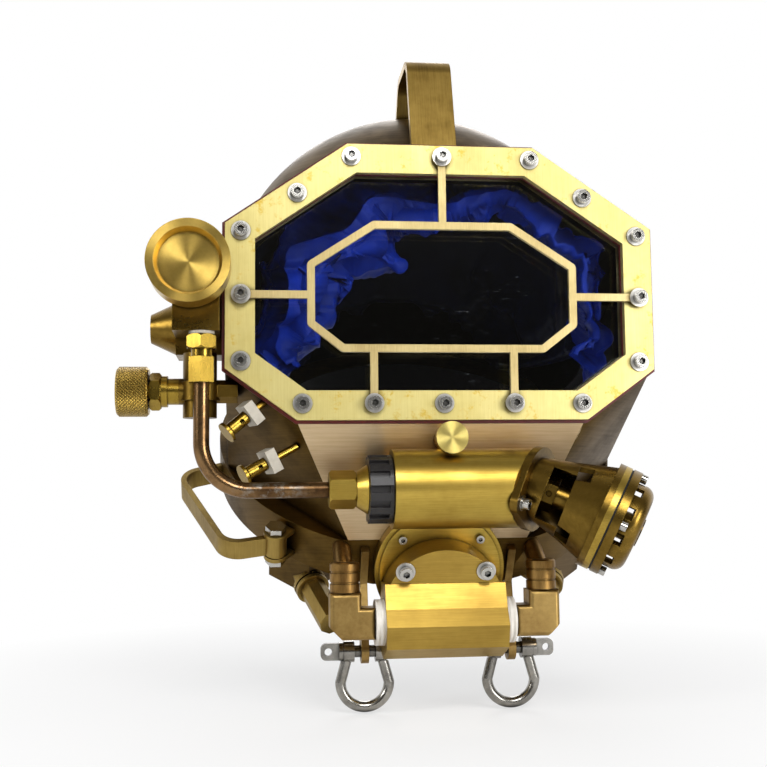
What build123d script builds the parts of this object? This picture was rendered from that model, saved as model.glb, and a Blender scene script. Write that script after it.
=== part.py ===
from build123d import *
import os
from math import atan2, cos, degrees, radians, sin, sqrt, tan

os.makedirs("parts", exist_ok=True)

# A brass diving helmet in millimetres. The origin is the centre of the neck ring's lower face.
# +Z is up, -Y is the way the diver looks, and +X is the diver's left hand.
# Places on the front are given from the window: across, depth behind the retainer's face, height.

# Window and the plates that hold it
window_forward = 160
window_height = 118
frame_half_width = 140
frame_half_height = 90
frame_top_half = 61.5
frame_bottom_half = 94.5
frame_side_top = 36.5
frame_side_low = 57
frame_band = 19
retainer_thickness = 5
gasket_thickness = 3
gasket_proud = 2
lens_thickness = 10
lens_ledge = 13
lens_gap = 0.3
flange_depth = 18
flange_step = 1
screw_inset_top = 8.4
screw_inset_low = 10.6

# Guard over the window
guard_thickness = 3
guard_bar = 5
guard_half_width = 88
guard_top_half = 45.5
guard_bottom_half = 66
guard_top = 38.5
guard_bottom = 46.7
guard_side_top = 11
guard_side_low = 29.5
guard_tab_radius = 5.5
guard_corner_radius = 4

# Cap screws of the window and their washers
screw_shank_radius = 2.5
screw_head_radius = 4.25
screw_head_height = 5
screw_length = 16
socket_across_flats = 4
washer_radius = 6.2
washer_thickness = 1
hole_gap = 0.05
top_screw_spacing = 59
slant_screw_across = 94
slant_screw_height = 56.8
side_screw_across = 130
side_screw_top = 31.5
side_screw_middle = 10
side_screw_low = 52.3
bottom_screw_outer = 91
bottom_screw_inner = 45.5

# Shell: a straight trunk behind the window, a dome, and a duct down to the neck
wall = 4
back_flare = 1.2
dome_radius = 142.6
dome_depth = 150
dome_height = 8
trunk_taper = 12
neck_tilt = 34
panel_tilt = 18.4
neck_front_half = 60
neck_side_front = 40
neck_side_back = 30
neck_back_half = 60
neck_back = 125

# Neck ring
ring_radius = 147
ring_height = 30
ring_wall = 5
ring_web = 4
neck_bore_radius = 118
collar_wall = 4
overrun = 400

# Lifting handle
handle_width = 31
handle_thickness = 5
handle_front_depth = 26
handle_front_height = 84
handle_top_front = 50
handle_top = 166
handle_top_back = 96
handle_back_depth = 112
handle_back_height = 138
handle_corner_radius = 14

# Nose clearing knob
nose_drop = 102.5
nose_knob_radius = 10
nose_knob_length = 6
nose_knob_forward = 28
nose_shaft_radius = 3
nose_shaft_end = 60
nose_gland_radius = 6
nose_gland_forward = 3
nose_gland_length = 31
nose_pad_width = 34
nose_pad_depth = 10
nose_pad_height = 16
nose_pad_notch = 8
shaft_gap = 0.06

# Regulator barrel, its adjuster and its gas inlet
barrel_forward = 8
barrel_drop = 134
barrel_radius = 25
barrel_left = -36
barrel_mount_across = 5
barrel_mount_radius = 15
barrel_mount_bore = 9
adjuster_length = 14.7
adjuster_radius = 19.3
adjuster_rib = 2
adjuster_rib_width = 5
adjuster_ribs = 14
adjuster_rim = 2.5
adjuster_gap = 0.3
stem_radius = 8
stem_reach = 16
cone_length = 7
cone_wide = 15.5
cone_narrow = 11
nut_length = 17
nut_across_flats = 21
nut_chamfer = 1.5
nut_corner_share = 0.58

# Gas tube and the fittings above it
tube_radius = 5
tube_bore = 4
tube_corner_radius = 30
tube_beside = 11
tube_seat = 8
block_washer_radius = 8
block_washer_thickness = 2
upper_nut_across_flats = 18
upper_nut_length = 9
neck_radius = 6.5
neck_length = 5
lower_hex_across_flats = 15.5
lower_hex_length = 16

# Side block on the diver's right
block_width = 29
block_front = -14
block_step = 22
block_back = 56
block_top = 24
block_low = 35
block_back_low = 46
block_sink = 20
side_gap = 1
plug_depth = 39
plug_height = -27
plug_base_radius = 17.5
plug_tip_radius = 9.5
plug_length = 17

# Free flow knob on the side block
flow_inset = 11
flow_height = 4
flow_radius = 25.5
flow_length = 22
flow_forward = 40
flow_dish_radius = 20.5
flow_dish_depth = 7
flow_dish_floor = 18.5
flow_bonnet_radius = 10
flow_bonnet_length = 3.7
flow_stem_radius = 4
flow_stem_length = 16

# Emergency valve beside the tube
valve_depth = 16
valve_drop = 70.5
valve_beside = 2
valve_body_radius = 10.8
valve_body_fall = 17
valve_lobe_radius = 13
valve_lobe_length = 12
valve_inlet_across_flats = 13
valve_inlet_length = 24
valve_neck_radius = 8.4
valve_neck_length = 11.2
valve_collar_radius = 10
valve_collar_length = 4
valve_hex_across_flats = 21
valve_hex_length = 7.5
valve_knob_radius = 16
valve_knob_length = 20
valve_knob_edge = 1.5
valve_stem_radius = 4
valve_stem_length = 14

# Terminal posts for the telephone wire, on the slanted lower facet
post_rise_shares = [0.092, 0.373]
post_side_shares = [0.553, 0.342]
post_stands = [6.5, 13.5]
post_ways = [(-0.8, -0.3, -0.68), (-0.8, -0.3, -0.44)]
post_sink = 3.5
post_block_width = 15
post_block_thickness = 7
post_radius = 2.5
thumb_hub_radius = 4.3
thumb_hub_length = 15
thumb_hole_radius = 1.6
thumb_hole_place = 5
thumb_groove_radius = 3.6
thumb_groove_length = 1.5
thumb_radius = 7
thumb_thickness = 2

# Strap handle on the neck ring
strap_width = 14
strap_thickness = 4
strap_top_angle = 190
strap_top_outer_angle = 192
strap_low_outer_angle = 221
strap_low_angle = 227
strap_top_reach = 180
strap_low_reach = 186
strap_corner_radius = 14
strap_height = 15
strap_pin_out = 10
strap_pin_radius = 4
strap_eye_radius = 7.5
strap_plate = 3
strap_plate_width = 16
strap_gap = 0.3
strap_hex_across_flats = 12
strap_hex_height = 4.5

# Exhaust boss on the front panel and the manifold below it
boss_drop = 94
boss_radius = 43
boss_depth = 12
boss_rim = 3
boss_rim_step = 2
boss_trim = 30
manifold_depth = 22
manifold_radius = 39
manifold_arch_rise = 8.7
block_half_width = 39
chin_bend_depth = 6.4
chin_bend_rise = 24.5
chin_ledge_depth = 1
chin_ledge_rise = 9
chin_nose_depth = -5
chin_nose_fall = 1.5
chin_foot_depth = -1
chin_foot_fall = 15.5
chin_base_depth = 20
chin_base_fall = 24
chin_back_depth = 32
chin_back_fall = 21
port_depth = 14
port_drop = 218.5
port_radius = 8
chin_screw_across = 26
chin_screw_rise = 33.7
boss_screw_across = 25.5
boss_screw_rise = 22.5
boss_screw_radius = 2.75
boss_screw_height = 3
boss_shank_radius = 1.5
boss_socket_across_flats = 2.5
boss_screw_length = 9

# Elbows at both ends of the manifold
seal_radius = 14.5
seal_thickness = 6
elbow_width = 20
elbow_across = 64
elbow_rise = 19.5
elbow_fillet = 3
elbow_corner = 8
ferrule_radius = 9.6
ferrule_length = 19
ferrule_chamfer = 1
ferrule_groove = 0.7
ferrule_groove_width = 1.4
ferrule_groove_shares = [0.28, 0.64]
riser_radius = 6
riser_length = 60
riser_below = 8

# Corner lugs under the neck ring and the drain fittings
lug_angle = 228
lug_clear = 3
lug_across = 25
lug_along = 36
lug_height = 33
lug_corner = 8
drain_across = 70
drain_depth = 40
drain_drop = 221
drain_across_flats = 17
drain_ring_radius = 11.5
drain_ring_start = 18
drain_ring_length = 3
drain_ring_gap = 1.5

# Shackles and the eye plates they hang from
eye_across = 49
eye_depth = 42
eye_drop = 240
eye_thickness = 5
eye_radius = 8
eye_root_front = 140
eye_root_back = 124
pin_radius = 4
shackle_rod = 3.5
shackle_jaw = 10.5
shackle_bow = 16
shackle_leg = 20
shackle_ear_radius = 7
shackle_ear_length = 7
pin_collar_radius = 6
pin_collar_length = 3
pin_eye_length = 15
pin_eye_width = 11
pin_eye_thickness = 4.5
pin_eye_hole = 2.5

# Regulator head
head_across = 54
flange_turn = 35
flange_dip = 11.5
flange_roll = 18
flange_thickness = 5
flange_round = 27
flange_ear_spacing = 27
flange_ear_radius = 7.5
flange_screw_radius = 3.4
flange_screw_height = 4.5
flange_shank_radius = 1.6
flange_screw_length = 8
flange_washer_radius = 4.8
flange_washer_thickness = 1
head_turn = 17.7
head_dip = 25.8
rim_across = 39
rim_forward = 13
rim_fall = 16.4
housing_foot_radius = 20.5
housing_radius = 31.5
housing_wall = 4
housing_flange = 4
rim_radius = 34.5
rim_end = 8
diaphragm_thickness = 1.2
diaphragm_inset = 0.8
cover_rim = 5.5
cover_radius = 28
cover_end = 27
cover_wall = 2.5
cover_round = 7
cover_slots = 10
cover_slot_width = 5
cover_slot_length = 8
purge_radius = 9
purge_gap = 0.3
purge_shoulder = 11
purge_shoulder_length = 2.5
purge_travel = 4
purge_proud = 1.2
purge_inset = 1
head_screw_circle = 31.2
head_screws = 4
head_screw_radius = 2.9
head_screw_height = 4
head_screw_length = 13
housing_port_width = 15
housing_port_height = 34
housing_window_width = 9
housing_window_height = 13
housing_window_along = 15
housing_window_turns = [52, -48, 180, 230]
valve_tube_radius = 8.5
valve_tube_end = 30
valve_nut_across_flats = 20
valve_nut_length = 8
valve_nut_start = 3
valve_nut_bore = 2

# Head cushion inside the dome
cushion_gap = 1
cushion_thickness = 20
cushion_front = 95
cushion_low = 34


# Places, planes and plain solids
def at(across, depth, height):
    return Vector(across, depth - window_forward, window_height + height)


def window_plane(depth):
    return Plane(origin=at(0, depth, 0), x_dir=(1, 0, 0), z_dir=(0, -1, 0))


neck_axis = Vector(0, -sin(radians(neck_tilt)), cos(radians(neck_tilt)))
neck_back_way = Vector(0, cos(radians(neck_tilt)), sin(radians(neck_tilt)))
panel_out = Vector(0, -cos(radians(panel_tilt)), -sin(radians(panel_tilt)))
panel_up = Vector(0, -sin(radians(panel_tilt)), cos(radians(panel_tilt)))
shell_front = retainer_thickness + gasket_thickness
panel_top = at(0, shell_front, -frame_half_height)
panel_plane = Plane(origin=panel_top, x_dir=(1, 0, 0), z_dir=panel_out)


def neck_plane(height):
    return Plane(origin=neck_axis * height, x_dir=(1, 0, 0), z_dir=neck_axis)


def rod(start, axis, radius, length):
    cylinder = Cylinder(radius, length, align=(Align.CENTER, Align.CENTER, Align.MIN))
    return Plane(origin=start, z_dir=axis) * cylinder


def taper(start, axis, radius, end_radius, length):
    cone = Cone(radius, end_radius, length, align=(Align.CENTER, Align.CENTER, Align.MIN))
    return Plane(origin=start, z_dir=axis) * cone


def hexagon(start, axis, across_flats, length):
    outline = RegularPolygon(across_flats / 2, 6, major_radius=False)
    across = (0, 1, 0) if abs(Vector(*axis).Z) > Vector(*axis).length / 2 else (0, 0, 1)
    return extrude(Plane(origin=start, x_dir=across, z_dir=axis) * outline, amount=length)


def nut(start, axis, across_flats, length):
    turned = rod(start, axis, across_flats * nut_corner_share, length)
    turned = chamfer(turned.edges().filter_by(GeomType.CIRCLE), nut_chamfer)
    return hexagon(start, axis, across_flats, length) & turned


def block_between(low, high):
    size = high - low
    return Pos(low + size * (1 / 2)) * Box(size.X, size.Y, size.Z)


def inset_outline(points, inset):
    moved = []
    count = len(points)
    for index in range(count):
        before = Vector(*points[index - 1])
        here = Vector(*points[index])
        after = Vector(*points[(index + 1) % count])
        way_in = (here - before).normalized()
        way_out = (after - here).normalized()
        turn = radians(way_in.get_signed_angle(way_out, Vector(0, 0, 1)))
        left = Vector(-way_in.Y, way_in.X)
        corner = here + left * inset - way_in * (inset * tan(turn / 2))
        moved.append((corner.X, corner.Y))
    return moved


def save(name, *solids):
    if len(solids) == 1:
        export_step(solids[0], f"parts/{name}.step")
    else:
        export_step(Compound(children=list(solids)), f"parts/{name}.step")


def both_sides(solid):
    return solid, mirror(solid, about=Plane.YZ)


beside_window = frame_half_width + gasket_proud + side_gap
block_outer = beside_window + block_width
tube_across = beside_window + tube_beside
valve_across = tube_across + valve_beside
flow_across = block_outer - flow_inset
bolt_top = frame_half_height - screw_inset_top
bolt_low = screw_inset_low - frame_half_height

window_outline = [
    (-frame_bottom_half, -frame_half_height),
    (frame_bottom_half, -frame_half_height),
    (frame_half_width, -frame_side_low),
    (frame_half_width, frame_side_top),
    (frame_top_half, frame_half_height),
    (-frame_top_half, frame_half_height),
    (-frame_half_width, frame_side_top),
    (-frame_half_width, -frame_side_low),
]
neck_top = neck_axis * ring_height
neck_front = (panel_top - neck_top).dot(panel_out) / neck_back_way.dot(panel_out)
neck_outline = [
    (-neck_front_half, neck_front),
    (neck_front_half, neck_front),
    (frame_half_width, -neck_side_front),
    (frame_half_width, neck_side_back),
    (neck_back_half, neck_back),
    (-neck_back_half, neck_back),
    (-frame_half_width, neck_side_back),
    (-frame_half_width, -neck_side_front),
]


# Shell
def duct(inset):
    mouth = window_plane(shell_front) * Polygon(*inset_outline(window_outline, inset))
    foot = neck_plane(ring_height) * Polygon(*inset_outline(neck_outline, inset))
    return loft([mouth, foot], ruled=True)


def trunk(inset):
    mouth = window_plane(shell_front) * Polygon(*inset_outline(window_outline, inset))
    back = window_plane(dome_depth) * Polygon(*inset_outline(window_outline, inset + trunk_taper))
    return loft([mouth, back], ruled=True)


def dome(inset):
    return Pos(at(0, dome_depth, dome_height)) * Sphere(dome_radius - inset)


def neck_flare(inset):
    side_inset = inset * sqrt(1 + back_flare * back_flare)
    low = ring_radius - back_flare * ring_height - side_inset
    cone = Cone(low, low + back_flare * overrun, overrun, align=(Align.CENTER, Align.CENTER, Align.MIN))
    return neck_plane(0) * cone


def window_prism(inset, front, back):
    outline = window_plane(back) * Polygon(*inset_outline(window_outline, inset))
    return extrude(outline, amount=back - front)


below_neck = neck_plane(ring_height) * Box(
    overrun * 2, overrun * 2, overrun, align=(Align.CENTER, Align.CENTER, Align.MAX)
)
ahead_of_window = window_plane(shell_front) * Box(
    overrun * 2, overrun * 2, overrun, align=(Align.CENTER, Align.CENTER, Align.MIN)
)
outside = duct(0) + trunk(0) + dome(0) - below_neck - ahead_of_window
outside = outside & neck_flare(0)
inside = duct(wall) + trunk(wall) + dome(wall)
inside = inside & neck_flare(wall)
shell = outside - inside
flange_back = shell_front + flange_depth
window_flange = window_prism(flange_step, shell_front, flange_back)
window_flange -= window_prism(frame_band, shell_front, flange_back)
window_flange -= window_prism(lens_ledge, shell_front, shell_front + lens_thickness)
shell = shell + window_flange

nose_hole = rod(at(0, -nose_gland_forward, -nose_drop), (0, 1, 0), nose_gland_radius, nose_gland_length)
shell -= nose_hole
port_start = at(barrel_mount_across, -barrel_forward, -barrel_drop)
shell -= rod(port_start, (0, 1, 0), barrel_mount_bore, dome_depth / 2)

window_screw_places = [
    (0, bolt_top),
    (top_screw_spacing, bolt_top),
    (-top_screw_spacing, bolt_top),
    (slant_screw_across, slant_screw_height),
    (-slant_screw_across, slant_screw_height),
    (side_screw_across, side_screw_top),
    (-side_screw_across, side_screw_top),
    (side_screw_across, -side_screw_middle),
    (-side_screw_across, -side_screw_middle),
    (side_screw_across, -side_screw_low),
    (-side_screw_across, -side_screw_low),
    (0, bolt_low),
    (bottom_screw_inner, bolt_low),
    (-bottom_screw_inner, bolt_low),
    (bottom_screw_outer, bolt_low),
    (-bottom_screw_outer, bolt_low),
]


def window_holes(front):
    holes = []
    for across, height in window_screw_places:
        start = at(across, front, height)
        holes.append(rod(start, (0, 1, 0), screw_shank_radius + hole_gap, screw_length))
    return holes


for hole in window_holes(-guard_thickness):
    shell -= hole
save("helmet_shell", shell)

# Neck ring
def neck_cylinder(radius, height):
    return neck_plane(0) * Cylinder(radius, height, align=(Align.CENTER, Align.CENTER, Align.MIN))


ahead_of_panel = panel_plane * Box(
    overrun * 2, overrun * 2, overrun, align=(Align.CENTER, Align.CENTER, Align.MIN)
)
behind_front_plate = Pos(panel_out * -ring_wall) * ahead_of_panel
channel = neck_cylinder(ring_radius - ring_wall, ring_height - ring_web)
channel -= neck_cylinder(neck_bore_radius + collar_wall, ring_height - ring_web)
channel -= behind_front_plate
neck_ring = neck_cylinder(ring_radius, ring_height) - neck_cylinder(neck_bore_radius, ring_height)
neck_ring = neck_ring - channel - ahead_of_panel
save("neck_ring", neck_ring)

# Window stack
gasket = window_prism(-gasket_proud, retainer_thickness, shell_front)
gasket -= window_prism(frame_band, retainer_thickness, shell_front)
retainer = window_prism(0, 0, retainer_thickness) - window_prism(frame_band, 0, retainer_thickness)
for hole in window_holes(-guard_thickness):
    gasket -= hole
    retainer -= hole
save("window_gasket", gasket)
save("window_retainer", retainer)
save("window_lens", window_prism(lens_ledge + lens_gap, shell_front, shell_front + lens_thickness))

guard_outline = [
    (-guard_bottom_half, -guard_bottom),
    (guard_bottom_half, -guard_bottom),
    (guard_half_width, -guard_side_low),
    (guard_half_width, guard_side_top),
    (guard_top_half, guard_top),
    (-guard_top_half, guard_top),
    (-guard_half_width, guard_side_top),
    (-guard_half_width, -guard_side_low),
]
guard_hole = Polygon(*inset_outline(guard_outline, guard_bar))
guard_feet = [
    (0, guard_top - guard_bar / 2, 0, bolt_top),
    (guard_half_width - guard_bar / 2, -side_screw_middle, side_screw_across, -side_screw_middle),
    (guard_bar / 2 - guard_half_width, -side_screw_middle, -side_screw_across, -side_screw_middle),
    (bottom_screw_inner, guard_bar / 2 - guard_bottom, bottom_screw_inner, bolt_low),
    (-bottom_screw_inner, guard_bar / 2 - guard_bottom, -bottom_screw_inner, bolt_low),
]
guard_face = Polygon(*guard_outline)
guard_face = fillet(guard_face.vertices(), guard_corner_radius)
for start_across, start_height, end_across, end_height in guard_feet:
    run = Vector(end_across - start_across, end_height - start_height)
    middle = Pos((start_across + end_across) / 2, (start_height + end_height) / 2)
    bar = middle * Rectangle(max(abs(run.X), guard_bar), max(abs(run.Y), guard_bar))
    guard_face = guard_face + bar
    guard_face = guard_face + Pos(end_across, end_height) * Circle(guard_tab_radius)
guard_face = guard_face - guard_hole
guard = extrude(window_plane(0) * guard_face, amount=guard_thickness)
for hole in window_holes(-guard_thickness):
    guard -= hole
save("window_guard", guard)


def cap_screw(seat, axis, shank, length, head, height, flats):
    socket = hexagon(seat + axis * (height - flats / 2), axis, flats, flats)
    screw = rod(seat, axis, head, height) + rod(seat - axis * length, axis, shank, length)
    return screw - socket


guard_screws = [(across, height) for _, _, across, height in guard_feet]
window_screws = []
window_washers = []
outward = Vector(0, -1, 0)
for across, height in window_screw_places:
    under_guard = (across, height) in guard_screws
    seat_depth = -guard_thickness if under_guard else 0
    seat = at(across, seat_depth, height)
    washer = rod(seat, outward, washer_radius, washer_thickness)
    washer -= rod(seat, outward, screw_shank_radius + hole_gap, washer_thickness)
    window_washers.append(washer)
    head_seat = seat + outward * washer_thickness
    window_screws.append(
        cap_screw(
            head_seat, outward, screw_shank_radius, screw_length - guard_thickness,
            screw_head_radius, screw_head_height, socket_across_flats,
        )
    )
save("window_screws", *window_screws)
save("window_washers", *window_washers)

# Lifting handle
side_plane = Plane(origin=at(-handle_width / 2, 0, 0), x_dir=(0, 1, 0), z_dir=(1, 0, 0))
handle_line = FilletPolyline(
    (handle_front_depth, handle_front_height),
    (handle_top_front, handle_top),
    (handle_top_back, handle_top),
    (handle_back_depth, handle_back_height),
    radius=handle_corner_radius,
)
top_handle = extrude(side_plane * trace(handle_line, handle_thickness), amount=handle_width)
top_handle = top_handle - outside - shell
save("top_handle", top_handle)

# Nose clearing knob
gland = rod(at(0, -nose_gland_forward, -nose_drop), (0, 1, 0), nose_gland_radius, nose_gland_length)
gland -= rod(
    at(0, -nose_gland_forward, -nose_drop), (0, 1, 0), nose_shaft_radius + shaft_gap, nose_gland_length
)
save("nose_gland", gland)
knob_start = at(0, -nose_knob_forward, -nose_drop)
nose_knob = rod(knob_start, (0, 1, 0), nose_knob_radius, nose_knob_length)
nose_knob += rod(knob_start, (0, 1, 0), nose_shaft_radius, nose_knob_forward + nose_shaft_end)
save("nose_knob", nose_knob)
pad_low = at(-nose_pad_width / 2, nose_shaft_end, -nose_drop - nose_pad_height / 2)
pad_high = at(nose_pad_width / 2, nose_shaft_end + nose_pad_depth, -nose_drop + nose_pad_height / 2)
nose_pad = block_between(pad_low, pad_high)
nose_pad -= rod(
    at(0, nose_shaft_end + nose_pad_depth, -nose_drop - nose_pad_height), (0, 0, 1),
    nose_pad_notch, nose_pad_height * 2,
)
save("nose_pad", nose_pad)

# Regulator barrel
head_start = at(head_across, -barrel_forward, -barrel_drop)


def tilted(turn, dip):
    return Vector(
        cos(radians(dip)) * cos(radians(turn)), -cos(radians(dip)) * sin(radians(turn)), -sin(radians(dip))
    )


def upward(axis):
    return Vector(0, 0, 1) - axis * axis.Z


flange_axis = tilted(flange_turn, flange_dip)
flange_up = upward(flange_axis).rotate(Axis(origin=(0, 0, 0), direction=flange_axis), flange_roll)
flange_plane = Plane(origin=head_start, x_dir=flange_up, z_dir=flange_axis)
head_axis = tilted(head_turn, head_dip)
rim_centre = head_start + Vector(rim_across, -rim_forward, -rim_fall)
head_plane = Plane(origin=rim_centre, x_dir=upward(head_axis), z_dir=head_axis)
beyond_flange = flange_plane * Box(overrun, overrun, overrun, align=(Align.CENTER, Align.CENTER, Align.MIN))
barrel_reach = head_across - barrel_left + flange_round
barrel = rod(at(barrel_left, -barrel_forward, -barrel_drop), (1, 0, 0), barrel_radius, barrel_reach)
full_barrel = barrel
barrel -= beyond_flange
stem_end = barrel_left + stem_reach
stem_seat = at(barrel_left, -barrel_forward, -barrel_drop)
barrel -= rod(stem_seat, (1, 0, 0), stem_radius, stem_reach)
barrel_mount = rod(port_start, (0, 1, 0), barrel_mount_radius, dome_depth / 2)
barrel_mount -= rod(port_start, (0, 1, 0), barrel_mount_bore, dome_depth / 2)
barrel_mount = barrel_mount - full_barrel
barrel_mount = barrel_mount & ahead_of_panel
boss_centre = panel_top + panel_up * (-boss_drop / cos(radians(panel_tilt)))
boss = rod(boss_centre, panel_out, boss_radius, boss_depth)
save("regulator_mount", barrel_mount - boss)

adjuster_left = barrel_left - adjuster_gap - adjuster_length
adjuster_start = at(adjuster_left, -barrel_forward, -barrel_drop)
adjuster = rod(adjuster_start, (1, 0, 0), adjuster_radius, adjuster_length)
for index in range(adjuster_ribs):
    rib = Box(
        adjuster_length, adjuster_rib_width, adjuster_rib * 2,
        align=(Align.MIN, Align.CENTER, Align.CENTER),
    )
    turned = Rot(360 * index / adjuster_ribs, 0, 0) * Pos(0, 0, adjuster_radius) * rib
    adjuster += Pos(adjuster_start) * turned
adjuster += rod(
    adjuster_start + Vector(adjuster_length - adjuster_rim, 0, 0), (1, 0, 0), adjuster_radius + adjuster_rib,
    adjuster_rim,
)
adjuster -= rod(adjuster_start, (1, 0, 0), stem_radius + shaft_gap, adjuster_length)
save("adjuster_knob", adjuster)
cone_left = adjuster_left - adjuster_gap - cone_length
cone_start = at(cone_left, -barrel_forward, -barrel_drop)
inlet_stem = taper(cone_start, (1, 0, 0), cone_narrow, cone_wide, cone_length)
inlet_stem += rod(cone_start, (1, 0, 0), stem_radius, stem_end - cone_left)
save("inlet_stem", inlet_stem)
nut_left = cone_left - nut_length
nut_start = at(nut_left, -barrel_forward, -barrel_drop)
inlet_nut = nut(nut_start, Vector(1, 0, 0), nut_across_flats, nut_length)
inlet_nut -= rod(nut_start, (1, 0, 0), tube_radius, tube_seat)
save("inlet_nut", inlet_nut)

# Fittings between the side block and the tube
column = at(-tube_across, -barrel_forward, -block_low)
down = Vector(0, 0, -1)
column_washer = rod(column, down, block_washer_radius, block_washer_thickness)
save("column_washer", column_washer)
upper_start = column + down * block_washer_thickness
upper_nut = nut(upper_start, down, upper_nut_across_flats, upper_nut_length)
upper_nut += rod(upper_start + down * upper_nut_length, down, neck_radius, neck_length)
save("column_nut", upper_nut)
lower_start = upper_start + down * (upper_nut_length + neck_length)
lower_hex = hexagon(lower_start, down, lower_hex_across_flats, lower_hex_length)
tube_start = lower_start + down * (lower_hex_length - tube_seat)
lower_hex -= rod(tube_start, down, tube_radius, tube_seat)
save("column_hex", lower_hex)
tube_corner = at(-tube_across, -barrel_forward, -barrel_drop)
tube_end = nut_start + Vector(tube_seat, 0, 0)
tube_line = FilletPolyline(tube_start, tube_corner, tube_end, radius=tube_corner_radius)
tube_plane = Plane(origin=tube_start, z_dir=down)
gas_tube = sweep(tube_plane * (Circle(tube_radius) - Circle(tube_bore)), path=tube_line)
save("gas_tube", gas_tube)

# Side block
front_block = block_between(
    at(-block_outer, block_front, -block_low), at(-beside_window, block_step, block_top)
)
back_block = block_between(
    at(-block_outer, block_step, -block_back_low), at(-dome_radius + block_sink, block_back, block_top)
)
side_block = front_block + back_block - outside
bonnet_start = at(-flow_across, block_front, flow_height)
side_block += rod(bonnet_start, outward, flow_bonnet_radius, flow_bonnet_length)
side_block -= rod(
    bonnet_start + outward * flow_bonnet_length, (0, 1, 0), flow_stem_radius + shaft_gap,
    flow_stem_length + flow_bonnet_length,
)
save("side_block", side_block)
plug = taper(
    at(-block_outer, plug_depth, plug_height), (-1, 0, 0), plug_base_radius, plug_tip_radius, plug_length
)
save("block_plug", plug)
flow_start = at(-flow_across, -flow_forward, flow_height)
flow_knob = rod(flow_start, (0, 1, 0), flow_radius, flow_length)
flow_knob -= taper(flow_start, (0, 1, 0), flow_dish_radius, flow_dish_floor, flow_dish_depth)
stem_run = block_front + flow_stem_length + flow_forward - flow_length
flow_knob += rod(
    at(-flow_across, flow_length - flow_forward, flow_height), (0, 1, 0), flow_stem_radius, stem_run
)
save("flow_knob", flow_knob)

# Emergency valve
left_way = Vector(-1, 0, 0)
up = Vector(0, 0, 1)
valve_centre = at(-valve_across, valve_depth, -valve_drop)
valve_foot = valve_centre + down * valve_body_fall
valve_body = rod(valve_foot, up, valve_body_radius, valve_body_fall + valve_drop - block_back_low)
valve_body += rod(valve_centre + down * (valve_lobe_length / 2), up, valve_lobe_radius, valve_lobe_length)
valve_body += hexagon(valve_centre, (1, 0, 0), valve_inlet_across_flats, valve_inlet_length)
valve_body += rod(valve_centre, left_way, valve_neck_radius, valve_lobe_radius)
valve_body = valve_body - outside
valve_body = valve_body.solids().sort_by(SortBy.VOLUME)[-1]
save("valve_body", valve_body)
valve_start = valve_centre + left_way * valve_lobe_radius
bonnet = rod(valve_start, left_way, valve_neck_radius, valve_neck_length)
bonnet += rod(
    valve_start + left_way * (valve_neck_length - valve_collar_length), left_way, valve_collar_radius,
    valve_collar_length,
)
bonnet += nut(
    valve_start + left_way * valve_neck_length, left_way, valve_hex_across_flats, valve_hex_length
)
bonnet_end = valve_start + left_way * (valve_neck_length + valve_hex_length)
bonnet -= rod(bonnet_end, (1, 0, 0), valve_stem_radius + shaft_gap, valve_stem_length)
save("valve_bonnet", bonnet)
valve_knob_start = bonnet_end + left_way * adjuster_gap
valve_knob = chamfer(
    rod(valve_knob_start, left_way, valve_knob_radius, valve_knob_length).edges(), valve_knob_edge
)
valve_knob += rod(valve_knob_start, (1, 0, 0), valve_stem_radius, valve_stem_length)
save("valve_knob", valve_knob)

# Terminal posts
facet_low = at(-frame_bottom_half, shell_front, -frame_half_height)
facet_side = at(-frame_half_width, shell_front, -frame_side_low)
neck_low = neck_top + Vector(-neck_front_half, 0, 0) + neck_back_way * neck_front
facet_normal = (facet_low - facet_side).cross(neck_low - facet_side).normalized()
if facet_normal.Y > 0:
    facet_normal = facet_normal * -1
post_washers = []
posts = []
thumbs = []
for index, way in enumerate(post_ways):
    edge_place = facet_low + (facet_side - facet_low) * post_side_shares[index]
    place = edge_place + (neck_low - facet_low) * post_rise_shares[index]
    post_axis = Vector(*way).normalized()
    sunk = place - post_axis * post_sink
    block_start = post_stands[index]
    post_plane = Plane(origin=place + post_axis * block_start, x_dir=upward(post_axis), z_dir=post_axis)
    post_block = post_plane * Box(
        post_block_width, post_block_width, post_block_thickness,
        align=(Align.CENTER, Align.CENTER, Align.MIN),
    )
    post_block -= rod(sunk, post_axis, post_radius, thumb_hub_length + post_block_thickness * 2 + block_start)
    post_washers.append(post_block)
    hub_reach = block_start + post_block_thickness + adjuster_gap
    post = rod(sunk, post_axis, post_radius, post_sink + hub_reach + thumb_hub_length / 2)
    posts.append(post - outside)
    hub_start = place + post_axis * hub_reach
    hub = rod(hub_start, post_axis, thumb_hub_radius, thumb_hub_length)
    groove_start = hub_start + post_axis * (thumb_hub_length - thumb_groove_length)
    hub -= rod(groove_start, post_axis, thumb_radius, thumb_groove_length)
    hub += rod(groove_start, post_axis, thumb_groove_radius, thumb_groove_length)
    hub += rod(hub_start + post_axis * thumb_hub_length, post_axis, thumb_radius, thumb_thickness)
    hub -= rod(hub_start, post_axis, post_radius + shaft_gap, thumb_hub_length / 2 + adjuster_gap)
    side_way = post_plane.y_dir
    hub -= rod(
        hub_start + post_axis * thumb_hole_place - side_way * thumb_hub_radius, side_way, thumb_hole_radius,
        thumb_hub_radius - post_radius - shaft_gap,
    )
    thumbs.append(hub)
save("post_washers", *post_washers)
save("terminal_posts", *posts)
save("terminal_nut_upper", thumbs[0])
save("terminal_nut_lower", thumbs[1])


# Strap handle on the neck ring
def on_ring(angle, reach):
    return (reach * cos(radians(angle)), reach * sin(radians(angle)))


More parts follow.
